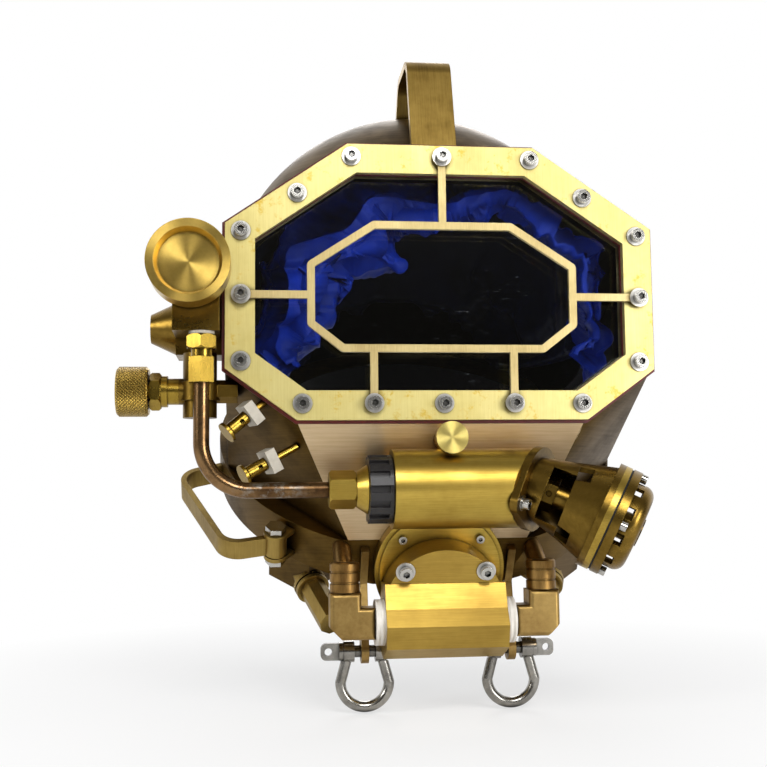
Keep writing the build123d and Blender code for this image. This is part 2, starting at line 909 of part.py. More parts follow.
strap_pin = on_ring(strap_low_angle, ring_radius + strap_pin_out)
strap_line = FilletPolyline(
    on_ring(strap_top_angle, ring_radius),
    on_ring(strap_top_outer_angle, strap_top_reach),
    on_ring(strap_low_outer_angle, strap_low_reach),
    strap_pin,
    radius=strap_corner_radius,
)


def strap_disc(radius, low, height):
    disc = Cylinder(radius, height, align=(Align.CENTER, Align.CENTER, Align.MIN))
    return neck_plane(low) * Pos(*strap_pin) * disc


strap_low = strap_height - strap_width / 2
strap_high = strap_height + strap_width / 2
side_handle = extrude(neck_plane(strap_low) * trace(strap_line, strap_thickness), amount=strap_width)
side_handle += strap_disc(strap_eye_radius, strap_low, strap_width)
side_handle -= neck_cylinder(ring_radius, ring_height)
side_handle -= strap_disc(strap_pin_radius + shaft_gap, strap_low, strap_width)
save("side_handle", side_handle)
plate_low = strap_low - strap_gap - strap_plate
plate_high = strap_high + strap_gap
bracket = []
for low in (plate_low, plate_high):
    plate = Rectangle(strap_pin_out * 2, strap_plate_width, align=(Align.MAX, Align.CENTER))
    plate = Pos(*strap_pin) * Rot(0, 0, strap_low_angle) * plate
    plate = extrude(neck_plane(low) * plate, amount=strap_plate)
    plate += strap_disc(strap_plate_width / 2, low, strap_plate)
    plate = plate - neck_cylinder(ring_radius, ring_height)
    bracket.append(plate - strap_disc(strap_pin_radius, low, strap_plate))
save("handle_bracket", *bracket)
pin_low = plate_low - strap_hex_height
handle_pin = strap_disc(strap_pin_radius, plate_low, plate_high + strap_plate - plate_low)
for low in (pin_low, plate_high + strap_plate):
    bolt_end = neck_plane(low) * Pos(*strap_pin)
    handle_pin += extrude(
        bolt_end * RegularPolygon(strap_hex_across_flats / 2, 6, major_radius=False), amount=strap_hex_height
    )
save("handle_pin", handle_pin)

# Exhaust boss and manifold
boss_front = Plane(origin=boss_centre + panel_out * boss_depth, x_dir=(1, 0, 0), z_dir=panel_out)
port_centre = at(0, port_depth, -port_drop)
arch_height = (port_centre - boss_front.origin).dot(panel_up) + manifold_arch_rise
arch = Pos(0, arch_height) * Circle(manifold_radius)
arch = arch & Pos(0, arch_height - manifold_arch_rise) * Rectangle(
    manifold_radius * 2, manifold_radius * 2, align=(Align.CENTER, Align.MIN)
)
manifold = extrude(boss_front * arch, amount=manifold_depth)
chin_outline = [
    (chin_bend_depth, chin_bend_rise - port_drop),
    (chin_ledge_depth, chin_ledge_rise - port_drop),
    (chin_nose_depth, -port_drop - chin_nose_fall),
    (chin_foot_depth, -port_drop - chin_foot_fall),
    (chin_base_depth, -port_drop - chin_base_fall),
    (chin_back_depth, -port_drop - chin_back_fall),
    (eye_depth, chin_bend_rise - port_drop),
]
chin_plane = Plane(origin=at(-block_half_width, 0, 0), x_dir=(0, 1, 0), z_dir=(1, 0, 0))
chin_block = extrude(chin_plane * Polygon(*chin_outline), amount=block_half_width * 2)
behind_boss = boss_front * Box(
    overrun * 2, overrun * 2, overrun, align=(Align.CENTER, Align.CENTER, Align.MAX)
)
manifold = manifold + (chin_block - behind_boss)
for way in (-1, 1):
    manifold -= rod(port_centre, (way, 0, 0), port_radius, block_half_width)
boss_lip = boss_front * (Circle(boss_radius) - Circle(boss_radius - boss_rim))
boss -= extrude(boss_lip, amount=-boss_rim_step)
boss -= boss_front * Pos(0, -boss_trim) * Box(
    boss_radius * 2, boss_radius, overrun, align=(Align.CENTER, Align.MAX, Align.CENTER)
)
manifold_front = boss_front.origin + panel_up * (arch_height - manifold_arch_rise) + panel_out * manifold_depth
manifold_screws = []
manifold_washers = []
for way in (-1, 1):
    chin_seat = manifold_front + panel_up * chin_screw_rise + Vector(way * chin_screw_across, 0, 0)
    hole = rod(chin_seat, panel_out * -1, screw_shank_radius + hole_gap, screw_length)
    manifold -= hole
    washer = rod(chin_seat, panel_out, washer_radius, washer_thickness)
    washer -= rod(chin_seat, panel_out, screw_shank_radius + hole_gap, washer_thickness)
    manifold_washers.append(washer)
    manifold_screws.append(
        cap_screw(
            chin_seat + panel_out * washer_thickness, panel_out, screw_shank_radius, screw_length / 2,
            screw_head_radius, screw_head_height, socket_across_flats,
        )
    )
    boss_seat = boss_front.origin + panel_up * boss_screw_rise + Vector(way * boss_screw_across, 0, 0)
    boss -= rod(boss_seat, panel_out * -1, boss_shank_radius + hole_gap, boss_screw_length)
    manifold_screws.append(
        cap_screw(
            boss_seat, panel_out, boss_shank_radius, boss_screw_length,
            boss_screw_radius, boss_screw_height, boss_socket_across_flats,
        )
    )
save("exhaust_boss", boss)
save("exhaust_manifold", manifold)
save("manifold_screws", *manifold_screws)
save("manifold_washers", *manifold_washers)

# Elbows at both ends of the manifold
seal_start = at(block_half_width, port_depth, -port_drop)
seal = rod(seal_start, (1, 0, 0), seal_radius, seal_thickness)
seal -= rod(seal_start, (1, 0, 0), port_radius, seal_thickness)
save("seal_washers", *both_sides(seal))
elbow_half = elbow_width / 2
elbow_start = block_half_width + seal_thickness
elbow_line = [
    (elbow_start, -port_drop - elbow_half),
    (elbow_across + elbow_half - elbow_corner, -port_drop - elbow_half),
    (elbow_across + elbow_half, -port_drop - elbow_half + elbow_corner),
    (elbow_across + elbow_half, elbow_rise - port_drop),
    (elbow_across - elbow_half, elbow_rise - port_drop),
    (elbow_across - elbow_half, -port_drop + elbow_half),
    (elbow_start, -port_drop + elbow_half),
]
elbow_face = window_plane(port_depth + elbow_half) * Polygon(*elbow_line)
elbow = extrude(elbow_face, amount=elbow_width)
elbow -= rod(at(0, port_depth, -port_drop), (1, 0, 0), port_radius, elbow_across)
elbow_long_edges = elbow.edges().filter_by(Axis.Z) + elbow.edges().filter_by(Axis.X)
elbow = fillet(elbow_long_edges, elbow_fillet)
elbow_right, elbow_left = both_sides(elbow)
save("elbow_right", elbow_right)
save("elbow_left", elbow_left)
ferrule_start = at(elbow_across, port_depth, elbow_rise - port_drop)
ferrule = rod(ferrule_start, up, ferrule_radius, ferrule_length)
ferrule = chamfer(ferrule.edges().filter_by(GeomType.CIRCLE).sort_by(Axis.Z)[-1], ferrule_chamfer)
for share in ferrule_groove_shares:
    groove_start = ferrule_start + up * (ferrule_length * share)
    groove = rod(groove_start, up, ferrule_radius, ferrule_groove_width)
    groove -= rod(groove_start, up, ferrule_radius - ferrule_groove, ferrule_groove_width)
    ferrule -= groove
save("elbow_ferrules", *both_sides(ferrule))
riser_start = ferrule_start + up * (ferrule_length - riser_below)
riser = rod(riser_start, neck_back_way, riser_radius, riser_length)
riser = riser - outside - neck_cylinder(ring_radius, ring_height) - ferrule
riser = riser.solids().sort_by(Axis.Y)[0]
save("exhaust_risers", *both_sides(riser))

# Corner lugs under the neck ring and the drain fittings
lug_radius = neck_bore_radius + lug_clear + lug_across / 2
lug_centre = Vector(*on_ring(lug_angle, lug_radius))
lug_face = Plane(
    origin=neck_back_way * lug_centre.Y + Vector(lug_centre.X, 0, 0),
    x_dir=Vector(cos(radians(lug_angle)), 0, 0) + neck_back_way * sin(radians(lug_angle)),
    z_dir=neck_axis * -1,
)
lug_block = Box(lug_across, lug_along, lug_height, align=(Align.CENTER, Align.CENTER, Align.MIN))
lug_block = chamfer(lug_block.faces().sort_by(Axis.Z)[-1].edges(), lug_corner)
lug = lug_face * lug_block
save("corner_lugs", *both_sides(lug))
drain_end = at(-drain_across, drain_depth, -drain_drop)
drain_root = lug_face.origin + neck_axis * (-lug_height / 2)
drain_run = drain_end - drain_root
drain_line = drain_run.normalized()
drain_plane = Plane(origin=drain_root, x_dir=drain_line.cross(up), z_dir=drain_line)
drain_bar = RegularPolygon(drain_across_flats / 2, 8, major_radius=False)
drain = extrude(drain_plane * drain_bar, amount=drain_run.length)
for start in (drain_ring_start, drain_ring_start + drain_ring_length + drain_ring_gap):
    drain += rod(drain_root + drain_line * start, drain_line, drain_ring_radius, drain_ring_length)
drain = drain - lug - neck_ring
drain = drain.solids().sort_by(SortBy.VOLUME)[-1]
save("drain_fittings", *both_sides(drain))

# Eye plates and shackles
eye_pin = at(eye_across, eye_depth, -eye_drop)
eye_plane = Plane(origin=at(eye_across - eye_thickness / 2, 0, 0), x_dir=(0, 1, 0), z_dir=(1, 0, 0))
root_near = neck_back_way * -eye_root_front + neck_axis * (ring_height - ring_web)
root_far = neck_back_way * -eye_root_back + neck_axis * (ring_height - ring_web)
low_far = neck_back_way * -eye_root_back
low_near = neck_back_way * -eye_root_front


def in_side_view(point):
    return (point.Y + window_forward, point.Z - window_height)


eye_face = Polygon(
    in_side_view(low_near),
    (eye_depth - eye_radius, -eye_drop),
    (eye_depth + eye_radius, -eye_drop),
    in_side_view(low_far),
    in_side_view(root_far),
    in_side_view(root_near),
)
eye_face = eye_face + Pos(eye_depth, -eye_drop) * Circle(eye_radius)
eye = extrude(eye_plane * eye_face, amount=eye_thickness)
eye = eye - neck_ring
eye -= rod(eye_pin - Vector(eye_thickness, 0, 0), (1, 0, 0), pin_radius + shaft_gap, eye_thickness * 2)
save("shackle_eyes", *both_sides(eye))

bow_centre = Vector(0, 0, -shackle_leg)
bow_ring = Rot(90, 0, 0) * Torus(shackle_bow, shackle_rod)
bow_half = bow_ring & Box(
    overrun, overrun, overrun, align=(Align.CENTER, Align.CENTER, Align.MAX)
)
bow = Pos(bow_centre) * bow_half
for way in (-1, 1):
    ear = Vector(way * shackle_jaw, 0, 0)
    knee = bow_centre + Vector(way * shackle_bow, 0, 0)
    leg = ear - knee
    bow += rod(knee, leg, shackle_rod, leg.length)
    bow += Pos(knee) * Sphere(shackle_rod)
    bow += rod(ear - Vector(shackle_ear_length / 2, 0, 0), (1, 0, 0), shackle_ear_radius, shackle_ear_length)
bow -= rod(Vector(-shackle_bow - shackle_rod, 0, 0), (1, 0, 0), pin_radius, (shackle_bow + shackle_rod) * 2)
for way in (-1, 1):
    ear_face = Vector(way * (shackle_jaw + shackle_ear_length / 2), 0, 0)
    bow -= rod(ear_face, (way, 0, 0), pin_collar_radius + purge_gap, pin_collar_length * 2)
bow = Pos(eye_pin) * bow
save("shackle_bow_right", bow)
save("shackle_bow_left", mirror(bow, about=Plane.YZ))
ear_end = shackle_jaw + shackle_ear_length / 2
pin = rod(Vector(-ear_end, 0, 0), (1, 0, 0), pin_radius, ear_end * 2)
pin += rod(Vector(ear_end, 0, 0), (1, 0, 0), pin_collar_radius, pin_collar_length)
pin_eye = Rectangle(pin_eye_length, pin_eye_width, align=(Align.MIN, Align.CENTER))
pin_eye = fillet(pin_eye.vertices(), pin_eye_width / 3)
pin_eye -= Pos(pin_eye_length * 2 / 3, 0) * Circle(pin_eye_hole)
pin_plane = Plane(
    origin=Vector(ear_end, pin_eye_thickness / 2, 0), x_dir=(1, 0, 0), z_dir=(0, -1, 0)
)
pin += extrude(pin_plane * pin_eye, amount=pin_eye_thickness)
pin = Pos(eye_pin) * pin
save("shackle_pin_right", pin)
save("shackle_pin_left", mirror(pin, about=Plane.YZ))


# Regulator head
def head_disc(radius, start, end):
    return head_plane * Pos(0, 0, start) * Cylinder(
        radius, end - start, align=(Align.CENTER, Align.CENTER, Align.MIN)
    )


flange_face = Circle(flange_round)
for way in (-1, 1):
    flange_face = flange_face + Pos(0, way * flange_ear_spacing) * Circle(flange_ear_radius)
flange_face = make_hull(flange_face.edges())
flange = extrude(flange_plane * flange_face, amount=flange_thickness)
flange_screws = []
flange_washers = []
for way in (-1, 1):
    seat = flange_plane.from_local_coords(Vector(0, way * flange_ear_spacing, flange_thickness))
    hole = rod(seat, flange_axis * -1, flange_shank_radius + hole_gap, flange_screw_length)
    flange -= hole
    barrel -= hole
    washer = rod(seat, flange_axis, flange_washer_radius, flange_washer_thickness)
    flange_washers.append(washer - rod(seat, flange_axis, flange_shank_radius, flange_washer_thickness))
    flange_screws.append(
        cap_screw(
            seat + flange_axis * flange_washer_thickness, flange_axis, flange_shank_radius,
            flange_screw_length, flange_screw_radius, flange_screw_height, flange_screw_radius,
        )
    )
save("regulator_barrel", barrel)
save("regulator_flange", flange)
save("flange_screws", *flange_screws, *flange_washers)

# Housing from the tilted flange to the diaphragm rings, with its windows
flange_out = flange_plane.offset(flange_thickness)


def housing_loft(inset):
    foot = flange_out * Circle(housing_foot_radius - inset)
    return loft([foot, head_plane * Circle(housing_radius - inset)], ruled=True)


housing = housing_loft(0) - housing_loft(housing_wall) + head_disc(rim_radius, 0, housing_flange)
housing -= head_disc(housing_radius - housing_wall, 0, housing_flange)
near_way = head_plane.x_dir.cross(head_axis) * -1
if near_way.Y > 0:
    near_way = near_way * -1
valve_run = rim_centre - flange_out.origin
valve_way = valve_run.normalized()
port_plane = Plane(origin=flange_out.origin + valve_way * housing_wall, x_dir=upward(valve_way), z_dir=valve_way)
port_turn = degrees(atan2(near_way.dot(port_plane.y_dir), near_way.dot(port_plane.x_dir)))
port_box = Box(
    housing_radius + housing_wall, housing_port_height, housing_port_width,
    align=(Align.MIN, Align.CENTER, Align.MIN),
)
housing -= port_plane * Rot(0, 0, port_turn) * port_box
window_box = Box(
    housing_radius + housing_wall, housing_window_height, housing_window_width,
    align=(Align.MIN, Align.CENTER, Align.MIN),
)
for turn in housing_window_turns:
    housing -= port_plane * Rot(0, 0, port_turn + turn) * Pos(0, 0, housing_window_along) * window_box
valve_tube = rod(flange_out.origin, valve_way, valve_tube_radius, valve_tube_end)
valve_nut_place = flange_out.origin + valve_way * valve_nut_start
valve_tube += hexagon(valve_nut_place, valve_way, valve_nut_across_flats, valve_nut_length)
valve_tube -= flange_out * Box(
    overrun, overrun, overrun, align=(Align.CENTER, Align.CENTER, Align.MAX)
)
nut_hole = valve_nut_place + valve_way * (valve_nut_length / 2) + near_way * valve_tube_radius
valve_tube -= rod(nut_hole, near_way, valve_nut_bore, valve_nut_across_flats)
save("valve_tube", valve_tube)
rim = head_disc(rim_radius, housing_flange, rim_end)
rim -= head_disc(housing_radius - housing_wall, housing_flange, rim_end)
diaphragm_end = rim_end + diaphragm_thickness
diaphragm = head_disc(rim_radius - diaphragm_inset, rim_end, diaphragm_end)
cover = Pos(0, 0, diaphragm_end) * Cylinder(
    cover_radius, cover_end - diaphragm_end, align=(Align.CENTER, Align.CENTER, Align.MIN)
)
cover = fillet(cover.edges().filter_by(GeomType.CIRCLE).sort_by(Axis.Z)[-1], cover_round)
cover_hollow = Pos(0, 0, diaphragm_end) * Cylinder(
    cover_radius - cover_wall, cover_end - cover_wall - diaphragm_end,
    align=(Align.CENTER, Align.CENTER, Align.MIN),
)
cover_hollow = fillet(
    cover_hollow.edges().filter_by(GeomType.CIRCLE).sort_by(Axis.Z)[-1], cover_round - cover_wall
)
rim_top = diaphragm_end + cover_rim
cover = head_plane * cover + head_disc(rim_radius, diaphragm_end, rim_top)
cover -= head_plane * cover_hollow
cover -= head_disc(purge_radius + purge_gap, diaphragm_end, cover_end)
for index in range(cover_slots):
    slot = Box(
        cover_radius, cover_slot_length, cover_slot_width, align=(Align.MIN, Align.CENTER, Align.MIN)
    )
    slot = Rot(0, 0, 360 * index / cover_slots) * Pos(cover_radius / 2, 0, rim_top) * slot
    cover -= head_plane * slot
purge_top = cover_end + purge_proud
purge = head_disc(purge_radius, diaphragm_end + purge_inset + purge_travel, purge_top)
shoulder_top = cover_end - cover_wall - purge_gap
purge += head_disc(purge_shoulder, shoulder_top - purge_shoulder_length, shoulder_top)
head_screws_solids = []
for index in range(head_screws):
    turn = radians(360 * index / head_screws)
    place = Vector(head_screw_circle * cos(turn), head_screw_circle * sin(turn), rim_top)
    seat = head_plane.from_local_coords(place)
    hole = rod(seat, head_axis * -1, flange_shank_radius + hole_gap, head_screw_length)
    cover -= hole
    diaphragm -= hole
    rim -= hole
    housing -= hole
    head_screws_solids.append(
        cap_screw(
            seat, head_axis, flange_shank_radius, head_screw_length,
            head_screw_radius, head_screw_height, head_screw_radius,
        )
    )
save("regulator_housing", housing)
save("diaphragm_ring", rim)
save("diaphragm", diaphragm)
save("regulator_cover", cover)
save("purge_button", purge)
save("cover_screws", *head_screws_solids)

# Head cushion inside the dome
cushion_outer = dome_radius - wall - cushion_gap
cushion = Sphere(cushion_outer) - Sphere(cushion_outer - cushion_thickness)
cushion = Pos(at(0, dome_depth, dome_height)) * cushion
cushion_space = Pos(at(0, cushion_front, -cushion_low)) * Box(
    overrun * 2, overrun, overrun, align=(Align.CENTER, Align.MIN, Align.MIN)
)
cushion = (cushion & cushion_space & neck_flare(wall + cushion_gap)) - Pos(neck_axis * cushion_gap) * below_neck
save("head_cushion", cushion)
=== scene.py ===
# %% [markdown]
# A brass diving helmet. The model made in CAD gives every rigid piece its exact shape and place,
# so this lesson loads it as a frame and spends its effort on light, metal, rubber, cloth and the
# small soft or fine parts that a CAD model leaves plain. Blender counts in metres; one name turns
# millimetres into them.

# %% Load the frame
import math

import bpy
from mathutils import Matrix, Vector, noise
from mathutils.bvhtree import BVHTree


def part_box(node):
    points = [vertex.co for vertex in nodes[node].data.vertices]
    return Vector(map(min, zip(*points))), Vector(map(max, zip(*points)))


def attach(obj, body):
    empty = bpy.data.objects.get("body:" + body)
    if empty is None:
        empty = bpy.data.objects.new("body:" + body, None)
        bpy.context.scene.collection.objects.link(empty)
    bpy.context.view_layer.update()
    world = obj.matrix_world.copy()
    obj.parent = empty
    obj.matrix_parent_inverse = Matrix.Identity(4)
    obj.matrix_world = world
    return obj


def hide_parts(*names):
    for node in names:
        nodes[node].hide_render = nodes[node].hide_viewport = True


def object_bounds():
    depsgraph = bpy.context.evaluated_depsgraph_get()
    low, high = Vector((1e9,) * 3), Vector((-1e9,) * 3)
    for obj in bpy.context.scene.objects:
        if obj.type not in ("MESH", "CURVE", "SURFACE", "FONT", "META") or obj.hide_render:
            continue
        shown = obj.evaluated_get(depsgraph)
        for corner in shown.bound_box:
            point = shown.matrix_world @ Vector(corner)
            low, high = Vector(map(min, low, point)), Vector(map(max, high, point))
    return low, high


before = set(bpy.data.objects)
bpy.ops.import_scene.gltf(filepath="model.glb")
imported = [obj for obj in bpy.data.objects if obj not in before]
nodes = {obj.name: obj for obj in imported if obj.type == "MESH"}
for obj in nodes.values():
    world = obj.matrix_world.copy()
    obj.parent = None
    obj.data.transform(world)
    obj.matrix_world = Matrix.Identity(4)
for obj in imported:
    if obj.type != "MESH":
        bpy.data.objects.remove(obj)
mm = 0.001
cad_low, cad_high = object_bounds()
print("pieces in the frame:", len(nodes), "height mm:", round((cad_high.z - cad_low.z) / mm))

# %% [markdown]
# The photograph was taken from a little below the window and to the diver's right, about 0.7 m
# away. The place and the three directions below were worked out from the window's sixteen screws,
# whose true spacing is known, so the camera sees them where the photograph does.

# %% Camera
camera_data = bpy.data.cameras.new("camera")
camera = bpy.data.objects.new("camera", camera_data)
bpy.context.scene.collection.objects.link(camera)
camera_place = Vector((-121.2, -880.4, -17.6)) * mm
to_the_right = Vector((0.9937, -0.1120, -0.0101))
upwards = Vector((-0.0006, -0.0952, 0.9955))
backwards = Vector((-0.1124, -0.9891, -0.0947))
turn = Matrix((to_the_right, upwards, backwards)).transposed()
camera.matrix_world = Matrix.Translation(camera_place) @ turn.to_4x4()
camera_data.sensor_width = 36
camera_data.lens = 53.48
camera_data.clip_start = 0.01
camera_data.clip_end = 20
bpy.context.scene.camera = camera
bpy.context.scene.view_settings.view_transform = "Standard"
print("lens mm:", round(camera_data.lens, 2))

# %% [markdown]
# Colours are written as paint charts give them, in hex, and one function turns them into the
# linear values that shaders count in.

# %% Colours
def colour(hexadecimal):
    shares = [int(hexadecimal[i : i + 2], 16) / 255 for i in (1, 3, 5)]
    linear = [s / 12.92 if s <= 0.04045 else ((s + 0.055) / 1.055) ** 2.4 for s in shares]
    return tuple(linear) + (1.0,)


print("mid grey in linear light:", round(colour("#808080")[0], 3))

# %% [markdown]
# A room or a material is a tree of nodes. One small function adds a node with its settings and
# inputs, and links an input when it is given another node's output. The node that mixes two
# colours keeps a pair of inputs for each kind of value under the same names, so its colour inputs
# and its result are reached by number, and the numbers get names here. The room's tree starts
# empty, with the direction of a ray split into its three parts.

# %% Node helper and an empty room
MIX_SHARE, MIX_FROM, MIX_TO, MIXED = 0, 6, 7, 2


def add(tree, kind, settings=None, inputs=None):
    made = tree.nodes.new(kind)
    for name, value in (settings or {}).items():
        setattr(made, name, value)
    for name, value in (inputs or {}).items():
        if isinstance(value, bpy.types.NodeSocket):
            tree.links.new(value, made.inputs[name])
        else:
            made.inputs[name].default_value = value
    return made


world = bpy.data.worlds.new("studio_room")
bpy.context.scene.world = world
world.use_nodes = True
tree = world.node_tree
tree.nodes.clear()
way_out = add(tree, "ShaderNodeTexCoord").outputs["Generated"]
heading = add(tree, "ShaderNodeSeparateXYZ", inputs={0: way_out})
print("parts of a direction:", [part.name for part in heading.outputs])

# %% [markdown]
# Metal shows its surroundings more than its own colour, so the room comes before any material. A
# white backdrop stands behind the helmet. In front, where the photographer stood, the room is
# dim near the horizon and a little paler overhead. The smooth pane mirrors that dim part and stays
# dark, while the brushed plates gather light from the soft lamps above it. A ramp over the height
# makes the front wall, and the direction's Y turns it into the white backdrop.

# %% What the metal mirrors
front_wall = add(tree, "ShaderNodeValToRGB", inputs={0: heading.outputs["Z"]})
front_wall.color_ramp.elements[0].position = 0.12
front_wall.color_ramp.elements[0].color = colour("#3B3935")
front_wall.color_ramp.elements[1].position = 0.8
front_wall.color_ramp.elements[1].color = colour("#77736A")
behind = add(
    tree, "ShaderNodeMapRange",
    inputs={"Value": heading.outputs["Y"], "From Min": -0.15, "From Max": 0.35},
)
walls = add(
    tree, "ShaderNodeMix", {"data_type": "RGBA"},
    {MIX_SHARE: behind.outputs[0], MIX_FROM: front_wall.outputs[0], MIX_TO: colour("#FFFFFF")},
)
print("front wall is darkest up to:", round(front_wall.color_ramp.elements[0].position, 2))

# %% [markdown]
# The room is shown in three ways. Mirrored light, and light that comes through the pane, sees the
# walls above. Soft light that only fills shadows gets an even pale grey, which keeps the colours
# clean. The camera itself sees plain white, as in a product photograph.

# %% Room
mirrored = add(tree, "ShaderNodeBackground", inputs={"Color": walls.outputs[MIXED]})
fill = add(tree, "ShaderNodeBackground", inputs={"Color": colour("#E8E8E8"), "Strength": 0.5})
plain = add(tree, "ShaderNodeBackground", inputs={"Color": colour("#FFFFFF")})
rays = add(tree, "ShaderNodeLightPath")
by_shine = add(
    tree, "ShaderNodeMath", {"operation": "MAXIMUM"},
    {0: rays.outputs["Is Glossy Ray"], 1: rays.outputs["Is Transmission Ray"]},
)
lit = add(
    tree, "ShaderNodeMixShader",
    inputs={0: by_shine.outputs[0], 1: fill.outputs[0], 2: mirrored.outputs[0]},
)
seen = add(
    tree, "ShaderNodeMixShader",
    inputs={0: rays.outputs["Is Camera Ray"], 1: lit.outputs[0], 2: plain.outputs[0]},
)
add(tree, "ShaderNodeOutputWorld", inputs={"Surface": seen.outputs[0]})
print("world nodes:", len(tree.nodes))

# %% [markdown]
# Four soft lamps light the helmet. The one in front hangs above the pane's mirror line, so it
# brightens the barrel and the brushed plates without a glare on the window. The others round the
# sides and the back. Their power is kept at the level where a colour renders about as it is
# written.

# %% Lamps
def lamp(name, offset, width, power):
    data = bpy.data.lights.new(name, "AREA")
    data.shape = "DISK"
    data.size = width
    data.energy = power
    made = bpy.data.objects.new(name, data)
    made.location = middle + Vector(offset)
    made.rotation_euler = Vector(offset).to_track_quat("Z", "Y").to_euler()
    bpy.context.scene.collection.objects.link(made)


middle = (cad_low + cad_high) / 2
lamp("front_lamp", (0.15, -1.4, 0.85), 0.6, 9.5)
lamp("left_lamp", (-1.5, -0.8, 0.5), 0.6, 9)
lamp("right_lamp", (1.0, -1.3, 0.12), 0.6, 11)
lamp("rear_lamp", (0.2, 1.4, 0.9), 0.9, 9)
print("lamps:", len(bpy.data.lights))

# %% [markdown]
# The floor is a wide sheet of white paper just under the lowest shackle, to take the helmet's
# shadow. It is a single flat face, because nothing on it is seen but that shadow.

# %% Floor
floor_reach = 3.0
floor_height = cad_low.z - 1 * mm
floor_mesh = bpy.data.meshes.new("floor")
floor_mesh.from_pydata(
    [
        (-floor_reach, -floor_reach, floor_height), (floor_reach, -floor_reach, floor_height),
        (floor_reach, floor_reach, floor_height), (-floor_reach, floor_reach, floor_height),
    ],
    [], [(0, 1, 2, 3)],
)
floor = bpy.data.objects.new("floor", floor_mesh)
bpy.context.scene.collection.objects.link(floor)
print("floor height mm:", round(floor_height / mm))

# %% [markdown]
# The paper is matt and nearly white. Seen directly, it fades into the white backdrop a short way
# out, so that no horizon shows: the share of plain white grows with the distance from the middle.
# Mirrored in the metal it stays ordinary paper, which takes the shadow.

# %% Matt white paper
def empty_material(name):
    made = bpy.data.materials.new(name)
    made.use_nodes = True
    made.node_tree.nodes.clear()
    return made, made.node_tree


# Smooth white paper: no shine, and a hint of grey where the helmet's shadow falls.
paper, tree = empty_material("matt_white_paper")
centre_way = add(tree, "ShaderNodeTexCoord").outputs["Object"]
away = add(tree, "ShaderNodeVectorMath", {"operation": "LENGTH"}, {0: centre_way})
fade = add(
    tree, "ShaderNodeMapRange",
    inputs={"Value": away.outputs["Value"], "From Min": 0.16, "From Max": 0.5, "To Min": 0.5},
)
shaded = add(
    tree, "ShaderNodeBsdfPrincipled", inputs={"Base Color": colour("#F4F4F4"), "Roughness": 0.9}
)
white = add(tree, "ShaderNodeEmission", inputs={"Color": colour("#FFFFFF"), "Strength": 1.0})
faded = add(
    tree, "ShaderNodeMixShader",
    inputs={0: fade.outputs[0], 1: shaded.outputs[0], 2: white.outputs[0]},
)
rays = add(tree, "ShaderNodeLightPath")
straight = add(
    tree, "ShaderNodeMath", {"operation": "MAXIMUM"},
    {0: rays.outputs["Is Camera Ray"], 1: rays.outputs["Is Transmission Ray"]},
)
both = add(
    tree, "ShaderNodeMixShader",
    inputs={0: straight.outputs[0], 1: shaded.outputs[0], 2: faded.outputs[0]},
)
add(tree, "ShaderNodeOutputMaterial", inputs={"Surface": both.outputs[0]})
floor_mesh.materials.append(paper)
print("paper nodes:", len(tree.nodes))

# %% [markdown]
# The helmet is cast, rolled and machined brass, finished by hand with abrasive cloth. The grit
# leaves fine strokes in one direction. They are drawn as noise that is stretched along the stroke:
# the three sizes are the pattern's size in millimetres along X, Y and Z. Real grit is finer than
# 0.1 mm, too fine to show, so the strokes are drawn 0.7 to 1.2 mm apart, about a pixel's width.
# Milled, cast and tumbled pieces have no strokes to show, and get even blotches of 2 to 9 mm.

# %% Strokes of the grit
def brush_strokes(tree, place, sizes):
    stretched = add(
        tree, "ShaderNodeMapping",
        inputs={"Vector": place, "Scale": tuple(1 / (size * mm) for size in sizes)},
    )
    return add(
        tree, "ShaderNodeTexNoise",
        inputs={"Vector": stretched.outputs[0], "Scale": 1.0, "Detail": 3.0, "Roughness": 0.7},
    ).outputs[0]


view_distance = (middle - camera_place).length
pixel_width = view_distance * camera_data.sensor_width / camera_data.lens / 767
print("a pixel covers mm:", round(pixel_width / mm, 2))

# %% [markdown]
# Brass never tarnishes evenly. Slow clouds some 34 mm wide come from handling, and the strokes'
# grooves darken first, so both are added up to one measure of age that picks between a bright and
# a dull colour. Some pieces also have spots about 11 mm wide where the lacquer wore off.

# %% Tarnish
cloud_size = 34 * mm
spot_size = 11 * mm


def tarnished(tree, place, strokes, bright, dull, tarnish, lines, spots):
    clouds = add(
        tree, "ShaderNodeTexNoise",
        inputs={"Vector": place, "Scale": 1 / cloud_size, "Detail": 4.0, "Roughness": 0.62},
    )
    cloudy = add(
        tree, "ShaderNodeMapRange",
        inputs={"Value": clouds.outputs[0], "From Min": 0.4, "From Max": 0.66, "To Max": tarnish},
    )
    grooves = add(
        tree, "ShaderNodeMapRange",
        inputs={"Value": strokes, "From Min": 0.32, "From Max": 0.68, "To Max": lines},
    )
    age = add(
        tree, "ShaderNodeMath", {"operation": "ADD", "use_clamp": True},
        {0: cloudy.outputs[0], 1: grooves.outputs[0]},
    )
    shade = add(
        tree, "ShaderNodeMix", {"data_type": "RGBA"},
        {MIX_SHARE: age.outputs[0], MIX_FROM: colour(bright), MIX_TO: colour(dull)},
    ).outputs[MIXED]
    if spots:
        flecks = add(
            tree, "ShaderNodeTexNoise",
            inputs={"Vector": place, "Scale": 1 / spot_size, "Detail": 4.0, "Roughness": 0.75},
        )
        where = add(
            tree, "ShaderNodeMapRange",
            inputs={"Value": flecks.outputs[0], "From Min": 0.58, "From Max": 0.68, "To Max": 0.75},
        )
        shade = add(
            tree, "ShaderNodeMix", {"data_type": "RGBA"},
            {MIX_SHARE: where.outputs[0], MIX_FROM: shade, MIX_TO: colour(spots)},
        ).outputs[MIXED]
    return shade, age.outputs[0]


plate_low, plate_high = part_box("window_retainer")
print("clouds across the window:", round((plate_high[0] - plate_low[0]) / cloud_size))

